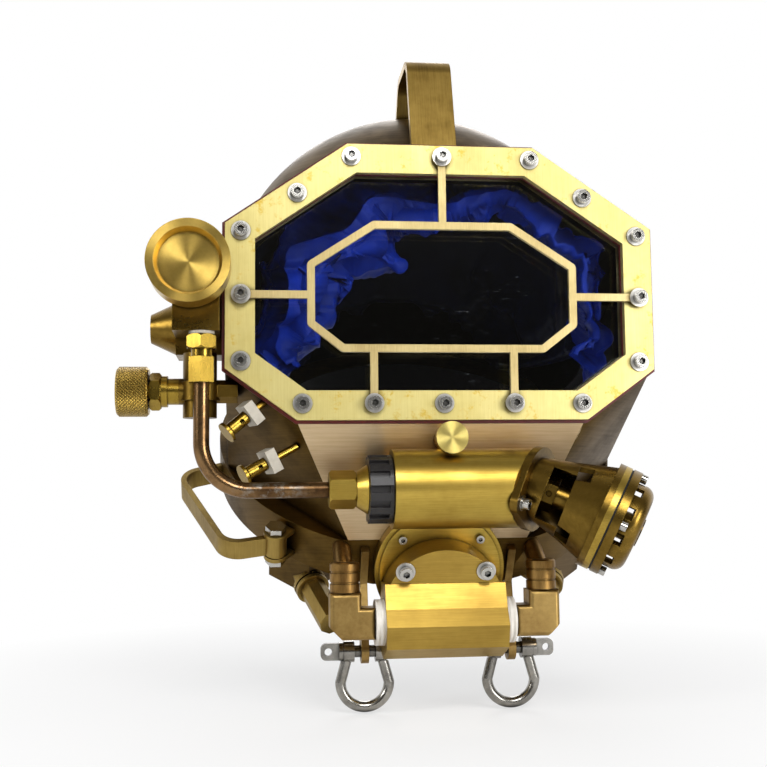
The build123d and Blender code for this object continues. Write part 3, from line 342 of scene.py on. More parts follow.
# %% [markdown]
# Within 5 mm of an inner corner, which the ambient occlusion node finds, the colour darkens:
# painted shade in the corners, with some real grime where a cloth can't reach. Edges are rubbed
# round, and the bevel node bends the light there as a true rounding would. With the strokes as a
# shallow bump, and age that roughens, this makes the finish of every metal piece. A metal keeps the
# shader's usual IOR, because its colour already says how it mirrors. The window's plate is the
# first to get it.

# %% Brushed metal
def brushed(
    name, bright, dull, strokes, rough, tarnish=0.4, spots=None, lines=0.5,
    corner_grime_and_shade="#2A1C08", edges=0.5, cut=0.15,
):
    made, tree = empty_material(name)
    place = add(tree, "ShaderNodeTexCoord").outputs["Object"]
    grit = brush_strokes(tree, place, strokes)
    shade, age = tarnished(tree, place, grit, bright, dull, tarnish, lines, spots)
    # Painted shade: near inner corners the colour darkens towards the corner colour, with some
    # grime.
    corner = add(tree, "ShaderNodeAmbientOcclusion", {"samples": 8}, {"Distance": 5 * mm})
    kept = add(
        tree, "ShaderNodeMapRange",
        inputs={
            "Value": corner.outputs["AO"], "From Min": 0.35, "From Max": 0.85,
            "To Min": 0.9, "To Max": 0.0,
        },
    )
    grime_and_shade_mix = add(
        tree, "ShaderNodeMix", {"data_type": "RGBA"},
        {MIX_SHARE: kept.outputs[0], MIX_FROM: shade, MIX_TO: colour(corner_grime_and_shade)},
    )
    rounded = add(tree, "ShaderNodeBevel", {"samples": 3}, {"Radius": edges * mm})
    relief = add(
        tree, "ShaderNodeBump",
        inputs={
            "Height": grit, "Strength": cut, "Distance": 0.1 * mm, "Normal": rounded.outputs[0],
        },
    )
    matt = add(
        tree, "ShaderNodeMapRange",
        inputs={"Value": age, "To Min": rough - 0.05, "To Max": rough + 0.12},
    )
    surface = add(
        tree, "ShaderNodeBsdfPrincipled",
        inputs={
            "Base Color": grime_and_shade_mix.outputs[MIXED], "Metallic": 1.0, "Roughness": matt.outputs[0],
            "Normal": relief.outputs[0],
        },
    )
    add(tree, "ShaderNodeOutputMaterial", inputs={"Surface": surface.outputs[0]})
    return made, tree, surface


# Rolled brass plate, sanded upright: pale champagne with gold spots where the lacquer wore off.
plate_brass = brushed(
    "sanded_brass_plate", "#DCCF8C", "#C0AE66", (0.7, 9, 34), 0.48, 0.35, spots="#CBA838", lines=0.3
)[0]
print(plate_brass.name, "nodes:", len(plate_brass.node_tree.nodes))

# %% [markdown]
# The window's bars and the handles were cut from sheet or drawn flat and sanded by hand, so their
# strokes are long and one way, and their shine is broad. The dome is a casting that was filed and
# left to brown.

# %% Bars, straps and the dome
# Sheet bronze cut to thin bars: duller and pinker than the plate behind it.
guard_bronze = brushed(
    "sanded_bronze_bars", "#D2C08A", "#A08A58", (0.7, 9, 14), 0.47, 0.4, lines=0.35
)[0]
# Filed bronze casting, left to brown: dark, with a soft satin sheen round the dome.
dome_bronze = brushed(
    "browned_bronze_dome", "#6A5226", "#3A2A0E", (45, 45, 1.2), 0.42, 0.6, lines=0.3
)[0]
# Drawn brass flat, bent and sanded along its length: golden, a little grimy.
strap_brass = brushed(
    "sanded_brass_strap", "#AC9250", "#786030", (0.8, 14, 22), 0.4, 0.5, lines=0.3
)[0]
# The same flat brass on the lifting handle, with a darker dull colour.
handle_brass = brushed(
    "darker_brass_strap", "#B2944E", "#6A5222", (0.8, 14, 22), 0.38, 0.55, lines=0.3
)[0]
print("sanded:", guard_bronze.name, dome_bronze.name, strap_brass.name, handle_brass.name)

# %% [markdown]
# The turned and milled pieces shine more, because a sharp tool leaves a finer surface than sand.
# The castings lie between: golden where hands rub them, olive where salt and grease stay. Their
# roughness runs from 0.27 for a milled hexagon to 0.38 for a filed casting.

# %% Turned, milled and cast brass
# Turned bar: bright gold, with fine strokes along its axis.
bar_brass = brushed("turned_brass_bar", "#C6A950", "#8C6E28", (22, 0.8, 0.8), 0.33, lines=0.3)[0]
# Milled hexagons and small turned fittings: clean yellow brass, almost polished.
fitting_brass = brushed(
    "milled_brass_fittings", "#A98D3A", "#7A5E22", (3, 3, 9), 0.27, lines=0.3
)[0]
# Filed castings: golden where handled, with broad soft scratches.
casting_brass = brushed(
    "filed_brass_casting", "#BF9F4C", "#8C6E30", (24, 0.8, 0.8), 0.38, 0.35, lines=0.3
)[0]
# Olive brass of the block and the regulator head, darkened by hands and salt.
dark_brass = brushed(
    "darkened_brass_casting", "#8A6E30", "#4A380F", (6, 2, 3), 0.3, 0.5, lines=0.25
)[0]
# Tan bronze elbows: cast, tumbled and dull.
elbow_bronze = brushed(
    "tumbled_bronze_elbows", "#B4965A", "#7A5E34", (4, 4, 4), 0.36, 0.5, lines=0.35
)[0]
# Coppery bronze of the hose ferrules, redder than the elbows.
ferrule_bronze = brushed(
    "coppery_bronze_ferrules", "#A8854C", "#6A4C28", (3, 3, 16), 0.34, 0.5
)[0]
print("turned, milled and cast:", bar_brass.name, fitting_brass.name, casting_brass.name)

# %% [markdown]
# The screws, their washers and the shackles are stainless steel. It hardly tarnishes, so most of
# the dark that the eye sees on it is the room, and the shadow in the screws' sockets, which a
# near-black corner colour adds as painted shadow.

# %% Stainless steel
# Cold headed and tumbled screws: grey, with bright rims, and sockets painted near-black as shadow.
steel = brushed(
    "tumbled_stainless_steel", "#CFCDC7", "#8E8B84", (9, 9, 9), 0.26, 0.2, lines=0.2,
    # Painted shadow: the near-black corner colour fills the sockets.
    corner_grime_and_shade="#050505", edges=0.4,
)[0]
# Stamped washers: brighter than the heads, because no key ever touches them.
washer_steel = brushed(
    "stamped_stainless_washers", "#EDEBE6", "#B9B6AF", (9, 9, 9), 0.34, 0.2, lines=0.2,
    # Painted shade: a dark grey corner colour where the washers meet the heads.
    corner_grime_and_shade="#4A4642", edges=0.3,
)[0]
# Forged shackles: the same steel, darker from use at sea.
shackle_steel = brushed(
    "weathered_shackle_steel", "#B4B1AA", "#5C5954", (5, 5, 5), 0.22, 0.5, lines=0.3,
    # Painted shade: a near-black corner colour in the shackles' inner corners.
    corner_grime_and_shade="#0A0908", edges=0.3,
)[0]
print("steels:", steel.name, washer_steel.name, shackle_steel.name)

# %% [markdown]
# The shell's lower front panel is a separate plate, ground to a pale pinkish sheen, while the
# rest of the shell has browned. Both belong to one piece, so the material chooses between two
# colours by the way each face points: the panel is the one that looks almost straight forward.

# %% Ground front panel
shell_bronze, tree, surface = brushed(
    "browned_shell_with_ground_panel", "#675026", "#38290E", (45, 45, 1.2), 0.42, 0.6, lines=0.3
)
browned = surface.inputs["Base Color"].links[0].from_socket
place = add(tree, "ShaderNodeTexCoord").outputs["Object"]
normal = add(tree, "ShaderNodeTexCoord").outputs["Normal"]
grain = brush_strokes(tree, place, (34, 9, 0.8))
ground = add(
    tree, "ShaderNodeMix", {"data_type": "RGBA"},
    {MIX_SHARE: grain, MIX_FROM: colour("#E6D0AC"), MIX_TO: colour("#B89C72")},
)
faces = add(tree, "ShaderNodeSeparateXYZ", inputs={0: normal})
forward = add(
    tree, "ShaderNodeMapRange",
    inputs={"Value": faces.outputs["Y"], "From Min": -0.82, "From Max": -0.86},
)
outer_shade = add(
    tree, "ShaderNodeMix", {"data_type": "RGBA"},
    {MIX_SHARE: forward.outputs[0], MIX_FROM: browned, MIX_TO: ground.outputs[MIXED]},
)
print("shell finish:", shell_bronze.name)

# %% [markdown]
# The inside of the shell is painted almost black, as painted shade deep in the helmet, which is
# what makes the window read as dark. A face belongs to the inside when it points at the middle of
# the head, and the product of its direction with the way out from there tells that: it turns
# negative on the inside.

# %% Painted shade inside
head_middle = Vector((0, -25, 100)) * mm
outwards = add(tree, "ShaderNodeVectorMath", {"operation": "SUBTRACT"}, {0: place, 1: head_middle})
side = add(
    tree, "ShaderNodeVectorMath", {"operation": "DOT_PRODUCT"}, {0: outwards.outputs[0], 1: normal}
)
inside = add(
    tree, "ShaderNodeMapRange",
    inputs={"Value": side.outputs["Value"], "From Min": 2 * mm, "From Max": -2 * mm},
)
# Painted shade: faces inside the shell turn near-black.
painted_dark_inside = add(
    tree, "ShaderNodeMix", {"data_type": "RGBA"},
    {MIX_SHARE: inside.outputs[0], MIX_FROM: outer_shade.outputs[MIXED], MIX_TO: colour("#0B0A10")},
)
tree.links.new(painted_dark_inside.outputs[MIXED], surface.inputs["Base Color"])
print("shell nodes:", len(tree.nodes))

# %% [markdown]
# The bore of the neck ring is painted black, as painted shade inside the neck. It is a finish and
# no piece: every point nearer to the ring's axis than the wall turns black. The axis leans by 34
# degrees, so the distance is taken in a plane that leans with it.

# %% Neck ring with its bore painted dark
ring_bronze, tree, surface = brushed(
    "browned_ring_with_painted_dark_bore", "#6A5226", "#3A2A0E", (45, 45, 1.2), 0.42, 0.6, lines=0.3
)
browned = surface.inputs["Base Color"].links[0].from_socket
ring_tilt = math.radians(34)
across_ring = (0, math.cos(ring_tilt), math.sin(ring_tilt))
bore_radius = 118 * mm
place = add(tree, "ShaderNodeTexCoord").outputs["Object"]
back_way = add(
    tree, "ShaderNodeVectorMath", {"operation": "DOT_PRODUCT"}, {0: place, 1: across_ring}
)
sideways = add(tree, "ShaderNodeSeparateXYZ", inputs={0: place})
flat_place = add(
    tree, "ShaderNodeCombineXYZ",
    inputs={"X": sideways.outputs["X"], "Y": back_way.outputs["Value"]},
)
from_axis = add(tree, "ShaderNodeVectorMath", {"operation": "LENGTH"}, {0: flat_place.outputs[0]})
painted_dark_bore = add(
    tree, "ShaderNodeMapRange",
    inputs={
        "Value": from_axis.outputs["Value"],
        "From Min": bore_radius + 0.6 * mm, "From Max": bore_radius + 0.2 * mm,
    },
)
# Painted shade: the bore of the ring turns near-black.
ring_shade = add(
    tree, "ShaderNodeMix", {"data_type": "RGBA"},
    {MIX_SHARE: painted_dark_bore.outputs[0], MIX_FROM: browned, MIX_TO: colour("#0A0A0C")},
)
tree.links.new(ring_shade.outputs[MIXED], surface.inputs["Base Color"])
print("ring finish:", ring_bronze.name)

# %% [markdown]
# A lathe leaves rings around its axis, and rings stretch each highlight into a bright wedge from
# the centre. The shader makes that from its anisotropy and a tangent that runs round the piece, so
# the flow knob's cup and the nose knob get them as the real ones have them.

# %% Turned faces
def turned(name, bright, dull, rough):
    made, tree, surface = brushed(name, bright, dull, (6, 6, 6), rough, 0.3, lines=0.3)
    around = add(tree, "ShaderNodeTangent", {"direction_type": "RADIAL", "axis": "Y"})
    surface.inputs["Anisotropic"].default_value = 0.85
    tree.links.new(around.outputs[0], surface.inputs["Tangent"])
    return made


# Faced brass: pale gold with the wedge shaped shine of a fresh lathe cut.
faced_brass = turned("faced_brass_knob", "#F0DC84", "#C4A440", 0.34)
# The flow knob's cup has dulled, so its wedges are softer.
cup_brass = turned("faced_brass_cup", "#D8B860", "#9A7A34", 0.36)
print("turned finishes:", faced_brass.name, cup_brass.name)

# %% [markdown]
# The emergency valve's knob is knurled: a wheel pressed two sets of slanting grooves into it,
# about 2.2 mm apart. They are drawn as two crossing waves, one in the sum and one in the
# difference of the angle round the knob and the distance along it. The lower of the two waves
# leaves the raised diamonds.

# %% Knurl waves
knurled_brass, tree, surface = brushed(
    "knurled_brass_knob", "#D6B458", "#7E5E20", (2, 2, 2), 0.3, 0.3, lines=0.2
)
knob_low, knob_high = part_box("valve_knob")
knob_middle = (Vector(knob_low) + Vector(knob_high)) / 2
knob_radius = (knob_high[2] - knob_low[2]) / 2
groove_gap = 2.2 * mm
groove_count = round(2 * math.pi * knob_radius / groove_gap)
place = add(tree, "ShaderNodeTexCoord").outputs["Object"]
centred = add(tree, "ShaderNodeVectorMath", {"operation": "SUBTRACT"}, {0: place, 1: knob_middle})
away = add(tree, "ShaderNodeSeparateXYZ", inputs={0: centred.outputs[0]})
angle = add(
    tree, "ShaderNodeMath", {"operation": "ARCTAN2"}, {0: away.outputs["Z"], 1: away.outputs["Y"]}
)
round_it = add(
    tree, "ShaderNodeMath", {"operation": "MULTIPLY"}, {0: angle.outputs[0], 1: groove_count}
)
along = add(
    tree, "ShaderNodeMath", {"operation": "MULTIPLY"},
    {0: away.outputs["X"], 1: 2 * math.pi / groove_gap},
)
waves = []
for way in ("ADD", "SUBTRACT"):
    slanted = add(
        tree, "ShaderNodeMath", {"operation": way}, {0: round_it.outputs[0], 1: along.outputs[0]}
    )
    waves.append(add(tree, "ShaderNodeMath", {"operation": "SINE"}, {0: slanted.outputs[0]}))
peaks = add(
    tree, "ShaderNodeMath", {"operation": "MINIMUM"},
    {0: waves[0].outputs[0], 1: waves[1].outputs[0]},
)
print("grooves round the knob:", groove_count)

# %% [markdown]
# The knurling wheel touched only the rim, so the waves are kept to the points farthest from the
# knob's axis. They go into the bump, and darken the grooves. Grooves this fine need no mesh.

# %% Knurled knob
outside = add(
    tree, "ShaderNodeVectorMath", {"operation": "MULTIPLY"}, {0: centred.outputs[0], 1: (0, 1, 1)}
)
reach = add(tree, "ShaderNodeVectorMath", {"operation": "LENGTH"}, {0: outside.outputs[0]})
rim = add(
    tree, "ShaderNodeMapRange",
    inputs={
        "Value": reach.outputs["Value"],
        "From Min": knob_radius - 1.2 * mm, "From Max": knob_radius - 0.6 * mm,
    },
)
height = add(
    tree, "ShaderNodeMath", {"operation": "MULTIPLY"}, {0: peaks.outputs[0], 1: rim.outputs[0]}
)
knurl = add(
    tree, "ShaderNodeBump",
    inputs={"Height": height.outputs[0], "Strength": 1.0, "Distance": 0.45 * mm},
)
tree.links.new(knurl.outputs[0], surface.inputs["Normal"])
# The grooves are drawn darker than the diamonds.
groove_darkening = add(
    tree, "ShaderNodeMapRange",
    inputs={
        "Value": height.outputs[0], "From Min": -1.0, "From Max": 0.1, "To Min": 0.7, "To Max": 0.0,
    },
)
clean_shade = surface.inputs["Base Color"].links[0].from_socket
grooved = add(
    tree, "ShaderNodeMix", {"data_type": "RGBA"},
    {MIX_SHARE: groove_darkening.outputs[0], MIX_FROM: clean_shade, MIX_TO: colour("#4A3410")},
)
tree.links.new(grooved.outputs[MIXED], surface.inputs["Base Color"])
print("knob mm across:", round(2 * knob_radius / mm))

# %% [markdown]
# The gas tube is drawn copper, brown with heat and handling. Beside the inlet nut it was silver
# soldered, and the solder left a grey, rough stretch between 12 and 66 mm from the nut. A mask by
# distance from the nut and a coarse noise put the solder there and nowhere else.

# %% Copper tube
tube_copper, tree, surface = brushed(
    "browned_copper_tube", "#94744E", "#4A3420", (9, 9, 9), 0.27, 0.85, spots="#33261A", lines=0.3
)
bare_copper = surface.inputs["Base Color"].links[0].from_socket
nut_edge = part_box("inlet_nut")[0][0]
place = add(tree, "ShaderNodeTexCoord").outputs["Object"]
across = add(tree, "ShaderNodeSeparateXYZ", inputs={0: place}).outputs["X"]
begins = add(
    tree, "ShaderNodeMapRange",
    inputs={"Value": across, "From Min": nut_edge - 66 * mm, "From Max": nut_edge - 46 * mm},
)
ends = add(
    tree, "ShaderNodeMapRange",
    inputs={"Value": across, "From Min": nut_edge - 12 * mm, "From Max": nut_edge - 26 * mm},
)
near = add(
    tree, "ShaderNodeMath", {"operation": "MULTIPLY"}, {0: begins.outputs[0], 1: ends.outputs[0]}
)
smears = add(
    tree, "ShaderNodeTexNoise",
    inputs={"Vector": place, "Scale": 1 / (7 * mm), "Detail": 4.0, "Roughness": 0.7},
)
patchy = add(
    tree, "ShaderNodeMapRange",
    inputs={"Value": smears.outputs[0], "From Min": 0.47, "From Max": 0.6, "To Max": 0.8},
)
solder = add(
    tree, "ShaderNodeMath", {"operation": "MULTIPLY"}, {0: near.outputs[0], 1: patchy.outputs[0]}
)
joined = add(
    tree, "ShaderNodeMix", {"data_type": "RGBA"},
    {MIX_SHARE: solder.outputs[0], MIX_FROM: bare_copper, MIX_TO: colour("#9A948A")},
)
tree.links.new(joined.outputs[MIXED], surface.inputs["Base Color"])
print("solder begins at X mm:", round(nut_edge / mm - 66))

# %% [markdown]
# Plastic, rubber and tape mirror little, so a fine grain in colour and bump does most of the work.
# One function makes them, with the grain's size in millimetres, and each keeps a plastic's usual
# IOR. The adjuster's ribbed knob is the first to get it.

# %% Moulded finish
def moulded(name, tint, shadow, rough, grain_size):
    made, tree = empty_material(name)
    place = add(tree, "ShaderNodeTexCoord").outputs["Object"]
    grain = add(
        tree, "ShaderNodeTexNoise",
        inputs={"Vector": place, "Scale": 1 / (grain_size * mm), "Detail": 4.0, "Roughness": 0.65},
    ).outputs[0]
    shade = add(
        tree, "ShaderNodeMix", {"data_type": "RGBA"},
        {MIX_SHARE: grain, MIX_FROM: colour(tint), MIX_TO: colour(shadow)},
    )
    rounded = add(tree, "ShaderNodeBevel", {"samples": 3}, {"Radius": 0.4 * mm}).outputs[0]
    relief = add(
        tree, "ShaderNodeBump",
        inputs={"Height": grain, "Strength": 0.4, "Distance": 0.15 * mm, "Normal": rounded},
    )
    surface = add(
        tree, "ShaderNodeBsdfPrincipled",
        inputs={
            "Base Color": shade.outputs[MIXED], "Roughness": rough, "Normal": relief.outputs[0],
        },
    )
    add(tree, "ShaderNodeOutputMaterial", inputs={"Surface": surface.outputs[0]})
    return made, tree, surface


# Moulded nylon: black with grey shine on its ribs.
black_nylon = moulded("moulded_black_nylon", "#2A2727", "#0E0C0C", 0.32, 3)[0]
print(black_nylon.name, "nodes:", len(black_nylon.node_tree.nodes))

# %% [markdown]
# The diaphragm and the nose pad are rubber, and the window sits on silicone. The two small blocks
# under the terminal nuts are natural nylon, which lets light in a little, so it gets some
# scattering below the surface.

# %% Rubber and nylon
# Moulded rubber: black and dull.
black_rubber = moulded("moulded_black_rubber", "#1A1818", "#0C0B0B", 0.6, 1.5)[0]
# Silicone sheet cut for the window: deep maroon, slightly dusty at its cut edge.
maroon_silicone = moulded("cut_maroon_silicone", "#74140F", "#3A0807", 0.45, 4)[0]
# Milled natural nylon: warm grey, and light goes a little way into it.
natural_nylon, tree, surface = moulded("milled_natural_nylon", "#C9C2B4", "#A39B8B", 0.5, 5)
surface.inputs["Subsurface Weight"].default_value = 0.3
surface.inputs["Subsurface Radius"].default_value = (2 * mm, 1.8 * mm, 1.5 * mm)
surface.inputs["Subsurface Scale"].default_value = 1.0
print("moulded and milled:", black_rubber.name, maroon_silicone.name, natural_nylon.name)

# %% [markdown]
# The washers beside the exhaust's elbows are many turns of white thread tape. Each turn's edge
# stands up a little and wanders, so the bump is a wave along the axis, bent by noise.

# %% Wound tape
# Thin white plastic tape, wound tight: matt, with uneven ridges where the turns end.
thread_tape, tree, surface = moulded("wound_white_thread_tape", "#F1EDE6", "#CFC8BC", 0.55, 6)
place = add(tree, "ShaderNodeTexCoord").outputs["Object"]
windings = add(
    tree, "ShaderNodeTexWave",
    {"wave_type": "BANDS", "bands_direction": "X", "wave_profile": "TRI"},
    {
        "Vector": place, "Scale": 1 / (9 * mm), "Distortion": 3.5, "Detail": 2.0,
        "Detail Scale": 0.35,
    },
)
layers = add(
    tree, "ShaderNodeBump",
    inputs={"Height": windings.outputs["Fac"], "Strength": 1.0, "Distance": 0.5 * mm},
)
tree.links.new(layers.outputs[0], surface.inputs["Normal"])
print("tape finish:", thread_tape.name)

# %% [markdown]
# The pane is clear acrylic, 10 mm thick. Fine scratches from cleaning scatter a little light. They
# are noise stretched one way, kept only at its peaks and only in some regions, because a cloth
# rubs the same places again and again.

# %% Scratches on the pane
pane, tree = empty_material("scratched_clear_acrylic")
place = add(tree, "ShaderNodeTexCoord").outputs["Object"]
slanted = add(
    tree, "ShaderNodeMapping",
    inputs={
        "Vector": place, "Rotation": (0, 0.5, 0),
        "Scale": (1 / (22 * mm), 1 / (22 * mm), 1 / (0.9 * mm)),
    },
)
scuffs = add(
    tree, "ShaderNodeTexNoise",
    inputs={"Vector": slanted.outputs[0], "Scale": 1.0, "Detail": 3.0, "Roughness": 0.8},
)
fine = add(
    tree, "ShaderNodeMapRange",
    inputs={"Value": scuffs.outputs[0], "From Min": 0.68, "From Max": 0.78, "To Max": 0.4},
)
region = add(
    tree, "ShaderNodeTexNoise", inputs={"Vector": place, "Scale": 1 / (60 * mm), "Detail": 2.0}
)
spread = add(
    tree, "ShaderNodeMapRange",
    inputs={"Value": region.outputs[0], "From Min": 0.45, "From Max": 0.62},
)
marks = add(
    tree, "ShaderNodeMath", {"operation": "MULTIPLY"}, {0: fine.outputs[0], 1: spread.outputs[0]}
)
print("scratch nodes:", len(tree.nodes))

# %% [markdown]
# Acrylic bends light a little less than window glass: its IOR is 1.49. Real light goes through the
# pane twice before the eye sees the lining, so shadow rays pass it too, or the inside would be
# black.

# %% Window pane
clear = add(
    tree, "ShaderNodeBsdfPrincipled",
    inputs={
        "Base Color": colour("#EDF3F4"), "Roughness": 0.01, "IOR": 1.49, "Transmission Weight": 1.0,
    },
)
dust = add(tree, "ShaderNodeBsdfDiffuse", inputs={"Color": colour("#C8CCD2")})
worn_pane = add(
    tree, "ShaderNodeMixShader",
    inputs={0: marks.outputs[0], 1: clear.outputs[0], 2: dust.outputs[0]},
)
open_way = add(tree, "ShaderNodeBsdfTransparent", inputs={"Color": colour("#E6EEF0")})
rays = add(tree, "ShaderNodeLightPath")
passed = add(
    tree, "ShaderNodeMixShader",
    inputs={0: rays.outputs["Is Shadow Ray"], 1: worn_pane.outputs[0], 2: open_way.outputs[0]},
)
add(tree, "ShaderNodeOutputMaterial", inputs={"Surface": passed.outputs[0]})
print("pane finish:", pane.name)

# %% [markdown]
# The lining is royal blue satin: a tightly woven, slippery cloth with a soft shine along its
# folds. The weave is far too fine to show, so its threads are drawn 0.8 mm apart, just coarse
# enough to break the shine up.

# %% Satin
def woven_satin(name, tint, shadow):
    made, tree = empty_material(name)
    place = add(tree, "ShaderNodeTexCoord").outputs["Object"]
    stains = add(
        tree, "ShaderNodeTexNoise", inputs={"Vector": place, "Scale": 1 / (26 * mm), "Detail": 3.0}
    )
    shade = add(
        tree, "ShaderNodeMix", {"data_type": "RGBA"},
        {MIX_SHARE: stains.outputs[0], MIX_FROM: colour(tint), MIX_TO: colour(shadow)},
    )
    weave = add(
        tree, "ShaderNodeTexNoise", inputs={"Vector": place, "Scale": 1 / (0.8 * mm), "Detail": 2.0}
    )
    threads = add(
        tree, "ShaderNodeBump",
        inputs={"Height": weave.outputs[0], "Strength": 0.2, "Distance": 0.2 * mm},
    )
    surface = add(
        tree, "ShaderNodeBsdfPrincipled",
        inputs={
            "Base Color": shade.outputs[MIXED], "Roughness": 0.5, "Specular IOR Level": 0.12,
            "Sheen Weight": 0.04, "Sheen Tint": colour("#4A6CFF"), "Normal": threads.outputs[0],
        },
    )
    add(tree, "ShaderNodeOutputMaterial", inputs={"Surface": surface.outputs[0]})
    return made


# Royal blue satin, loose near the window, where light still reaches it.
satin = woven_satin("woven_blue_satin", "#0D2C9E", "#040F44")
# The padded cushion deep in the dome is given a navy that reads as black: painted shade for the
# dark depth of the dome.
navy_painted_shade_satin = woven_satin("woven_navy_satin_as_shade", "#060C2C", "#020309")
print("cloth finishes:", satin.name, navy_painted_shade_satin.name)

# %% [markdown]
# Behind the window a padded satin cushion lines the dome. Its solid in the frame is a plain hollow
# half ball, whose few large faces can't wrinkle. So a copy is remeshed into small even faces,
# 5 mm wide.

# %% Even faces for the cushion
def remeshed(name, source, face_size):
    made = bpy.data.objects.new(name, source.data.copy())
    bpy.context.scene.collection.objects.link(made)
    made.data.materials.clear()
    even = made.modifiers.new("even_faces", "REMESH")
    even.mode = "VOXEL"
    even.voxel_size = face_size
    bpy.context.view_layer.update()
    seen = made.evaluated_get(bpy.context.evaluated_depsgraph_get())
    mesh = bpy.data.meshes.new_from_object(seen)
    made.modifiers.clear()
    made.data = mesh
    return made


cushion = remeshed("padded_lining", nodes["head_cushion"], 5 * mm)
print("cushion points:", len(cushion.data.vertices))

# %% [markdown]
# The copy is then blown up a little as cloth, with 12 percent more cloth than the shape needs, so
# that it puffs and wrinkles as stitched padding does. No point may move more than 6 mm, which
# keeps the pad in its own space.

# %% Puff the cushion
def puffed(piece, frames, most):
    start = [v.co.copy() for v in piece.data.vertices]
    cloth = piece.modifiers.new("cloth", "CLOTH")
    cloth.settings.use_pressure = True
    cloth.settings.uniform_pressure_force = 4
    cloth.settings.effector_weights.gravity = 0
    cloth.settings.shrink_min = -0.12
    scene = bpy.context.scene
    for frame_number in range(1, frames + 1):
        scene.frame_set(frame_number)
    seen = piece.evaluated_get(bpy.context.evaluated_depsgraph_get())
    moved = [v.co.copy() for v in seen.data.vertices]
    piece.modifiers.clear()
    scene.frame_set(1)
    for vertex, old, new in zip(piece.data.vertices, start, moved):
        step = new - old
        if step.length > most:
            step *= most / step.length
        vertex.co = old + step


puffed(cushion, 20, 6 * mm)
print("cushion mm wide:", round(cushion.dimensions.x / mm))

# %% [markdown]
# Where the puffed cloth meets the dome it lies flat against the wall, so any point further than
# 137.2 mm from the dome's middle comes back to that distance, just inside the wall. Smooth shading
# and one subdivision take the small faces away, and the cushion takes the place of its plain
# solid.

# %% Head cushion
dome_middle = Vector((0, -10, 126)) * mm
dome_limit = 137.2 * mm
for vertex in cushion.data.vertices:
    out = vertex.co - dome_middle
    if out.length > dome_limit:
        vertex.co = dome_middle + out * (dome_limit / out.length)
for face in cushion.data.polygons:
    face.use_smooth = True
softer = cushion.modifiers.new("softer", "SUBSURF")
softer.levels = 1
softer.render_levels = 1
# Painted shade: the cushion's near-black navy stands for the dark depth of the dome.
cushion.data.materials.append(navy_painted_shade_satin)
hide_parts("head_cushion")
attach(cushion, "helmet")
print("cushion faces:", len(cushion.data.polygons))

# %% [markdown]
# Between the window and the cushion the same satin hangs loose along the shell's inner wall, and
# bunches on the diver's right and overhead. A simulation would need the whole shell as a collider,
# so this piece is draped in code instead: rays from the middle find the wall, and each point of
# the cloth stands off it by a bulge and by folds. The cloth runs round the window from 32 degrees
# below the diver's left to 34 degrees below the right.

# %% Where the lining lies
wall_finder = BVHTree.FromPolygons(
    [v.co.copy() for v in nodes["helmet_shell"].data.vertices],
    [tuple(p.vertices) for p in nodes["helmet_shell"].data.polygons],
)
window_level = 126 * mm
lining_front = -136 * mm
lining_back = -60 * mm
nearest_to_pane = -139.5 * mm
lining_steps = 64
lining_turns = 400
lining_start = math.radians(-32)
lining_end = math.radians(214)
print("lining mm deep:", round((lining_back - lining_front) / mm))

# %% [markdown]
# Folds in thin cloth are sharp on top and wide below. Ridged noise has that shape: one minus the
# size of plain noise, whose zero lines become the ridges. A second noise bends the first, so the
# folds wander. A smooth step lets the bunches begin and end softly. The noise is seeded, so the
# cloth falls the same way each time.

# %% Folds
def ridge(point, size):
    bent = point / size + noise.noise_vector(point / (size * 1.8)) * 0.9
    return 1 - 2 * abs(noise.noise(bent))


def smooth(value, low, high):
    share = min(max((value - low) / (high - low), 0), 1)
    return share * share * (3 - 2 * share)


noise.seed_set(11)
print("fold height at the window's middle:", round(ridge(Vector((0, lining_front, 0)), 0.046), 2))

# %% [markdown]
# First the cloth is laid on the wall with its bulge only. That is 16 mm at most, with up to 24 mm
# more overhead and 48 mm more on the diver's right, where it bunches. Three rays side by side look
# for the wall, and the nearest counts, so that a narrow rib doesn't cut through the cloth.

# %% Lay the lining on the wall
points = []
rooms = []
for turn_number in range(lining_turns + 1):
    angle = lining_start + (lining_end - lining_start) * turn_number / lining_turns
    way = Vector((math.cos(angle), 0, math.sin(angle)))
    degrees = math.degrees(angle)
    overhead = 24 * smooth(degrees, 40, 85) * (1 - smooth(degrees, 150, 180))
    beside = 48 * smooth(degrees, 125, 160) * (1 - smooth(degrees, 196, 214))
    for step in range(lining_steps + 1):
        share = step / lining_steps
        start = Vector((0, lining_front + (lining_back - lining_front) * share, window_level))
        walls_at = [
            wall_finder.ray_cast(start + Vector((0, nudge * mm, 0)), way, 0.2)[3]
            for nudge in (-3, 0, 3)
        ]
        wall_at = min([d for d in walls_at if d] or [0.12])
        rise = math.sin(math.pi * min(0.04 + share * 1.3, 1)) ** 0.6
        bulge = (6 + (10 + overhead + beside) * rise) * mm
        points.append(start + way * (wall_at - bulge))
        rooms.append(bulge)
print("lining points:", len(points), "widest bulge mm:", round(max(rooms) / mm))

# %% [markdown]
# The points become a mesh of four sided faces, row by row. Each point's normal says which way it
# can stand off the wall. Normals may point either way, so those that face the wall are turned
# round.

# %% Rows of the lining
quads = []
for turn_number in range(lining_turns):
    for step in range(lining_steps):
        first = turn_number * (lining_steps + 1) + step
        quads.append((first, first + 1, first + lining_steps + 2, first + lining_steps + 1))
lining_mesh = bpy.data.meshes.new("loose_lining")
lining_mesh.from_pydata(points, [], quads)
lining_mesh.update()
inwards = []
for vertex in lining_mesh.vertices:
    faces_out = vertex.normal.dot(Vector((0, 0, window_level)) - vertex.co) < 0
    inwards.append(-vertex.normal.copy() if faces_out else vertex.normal.copy())
print("lining faces:", len(lining_mesh.polygons))

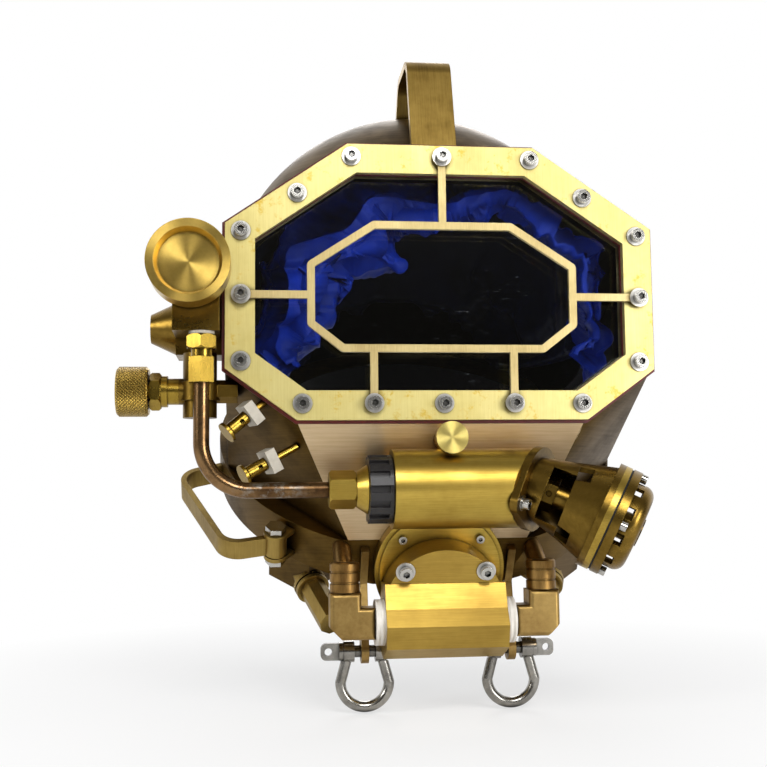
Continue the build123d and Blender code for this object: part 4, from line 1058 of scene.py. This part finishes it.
# %% [markdown]
# Each point now moves inwards along its normal by three sizes of fold: broad ones 46 mm apart,
# small ones 20 mm apart and creases 9 mm apart. The cloth stays 2 mm off the wall, and stops just
# short of the pane.

# %% Fold the lining
broad_size, small_size, crease_size = 0.046, 0.02, 0.009
for vertex, way, room in zip(lining_mesh.vertices, inwards, rooms):
    at = vertex.co.copy()
    broad = 9.0 * ridge(at, broad_size)
    small = 5.0 * ridge(at + Vector((1, 0, 0)), small_size)
    creases = 1.6 * ridge(at + Vector((0, 1, 0)), crease_size)
    vertex.co = at + way * max((broad + small + creases) * mm, 2 * mm - room)
    vertex.co.y = max(vertex.co.y, nearest_to_pane)
lining_mesh.update()
for face in lining_mesh.polygons:
    face.use_smooth = True
print("lining reaches forward to mm:", round(min(v.co.y for v in lining_mesh.vertices) / mm, 1))

# %% [markdown]
# The folded mesh becomes the loose lining, in blue satin, held by the helmet.

# %% Loose lining
lining = bpy.data.objects.new("loose_lining", lining_mesh)
bpy.context.scene.collection.objects.link(lining)
lining_mesh.materials.append(satin)
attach(lining, "helmet")

# %% [markdown]
# Last, each piece of the frame gets its finish. The list is by finish, so that a reader sees at a
# glance what is made of what.

# %% Finish of each piece
finish_of = {
    plate_brass: ["window_retainer"],
    guard_bronze: ["window_guard"],
    shell_bronze: ["helmet_shell"],
    ring_bronze: ["neck_ring"],
    dome_bronze: ["corner_lugs"],
    handle_brass: ["top_handle"],
    strap_brass: ["side_handle", "handle_bracket", "drain_fittings"],
    bar_brass: [
        "regulator_barrel", "exhaust_boss", "diaphragm_ring", "inlet_nut", "inlet_stem",
    ],
    fitting_brass: [
        "nose_gland", "column_nut", "column_hex", "valve_bonnet",
        "terminal_posts", "terminal_nut_upper", "terminal_nut_lower",
    ],
    faced_brass: ["nose_knob"],
    cup_brass: ["flow_knob"],
    knurled_brass: ["valve_knob"],
    casting_brass: ["exhaust_manifold"],
    dark_brass: [
        "side_block", "block_plug", "valve_body", "valve_tube", "regulator_mount",
        "regulator_flange", "regulator_housing", "regulator_cover", "purge_button",
    ],
    elbow_bronze: ["elbow_left", "elbow_right", "shackle_eyes"],
    ferrule_bronze: ["elbow_ferrules", "exhaust_risers"],
    tube_copper: ["gas_tube"],
    washer_steel: ["window_washers", "manifold_washers"],
    steel: ["window_screws", "manifold_screws", "cover_screws", "flange_screws", "handle_pin"],
    shackle_steel: [
        "shackle_bow_left", "shackle_bow_right", "shackle_pin_left", "shackle_pin_right",
    ],
    maroon_silicone: ["window_gasket"],
    black_rubber: ["diaphragm", "nose_pad"],
    black_nylon: ["adjuster_knob"],
    natural_nylon: ["post_washers", "column_washer"],
    thread_tape: ["seal_washers"],
    pane: ["window_lens"],
    satin: ["head_cushion"],
}
finished = set()
for material, names in finish_of.items():
    for name in names:
        nodes[name].data.materials.clear()
        nodes[name].data.materials.append(material)
        finished.add(name)
print("left without a finish:", sorted(set(nodes) - finished))
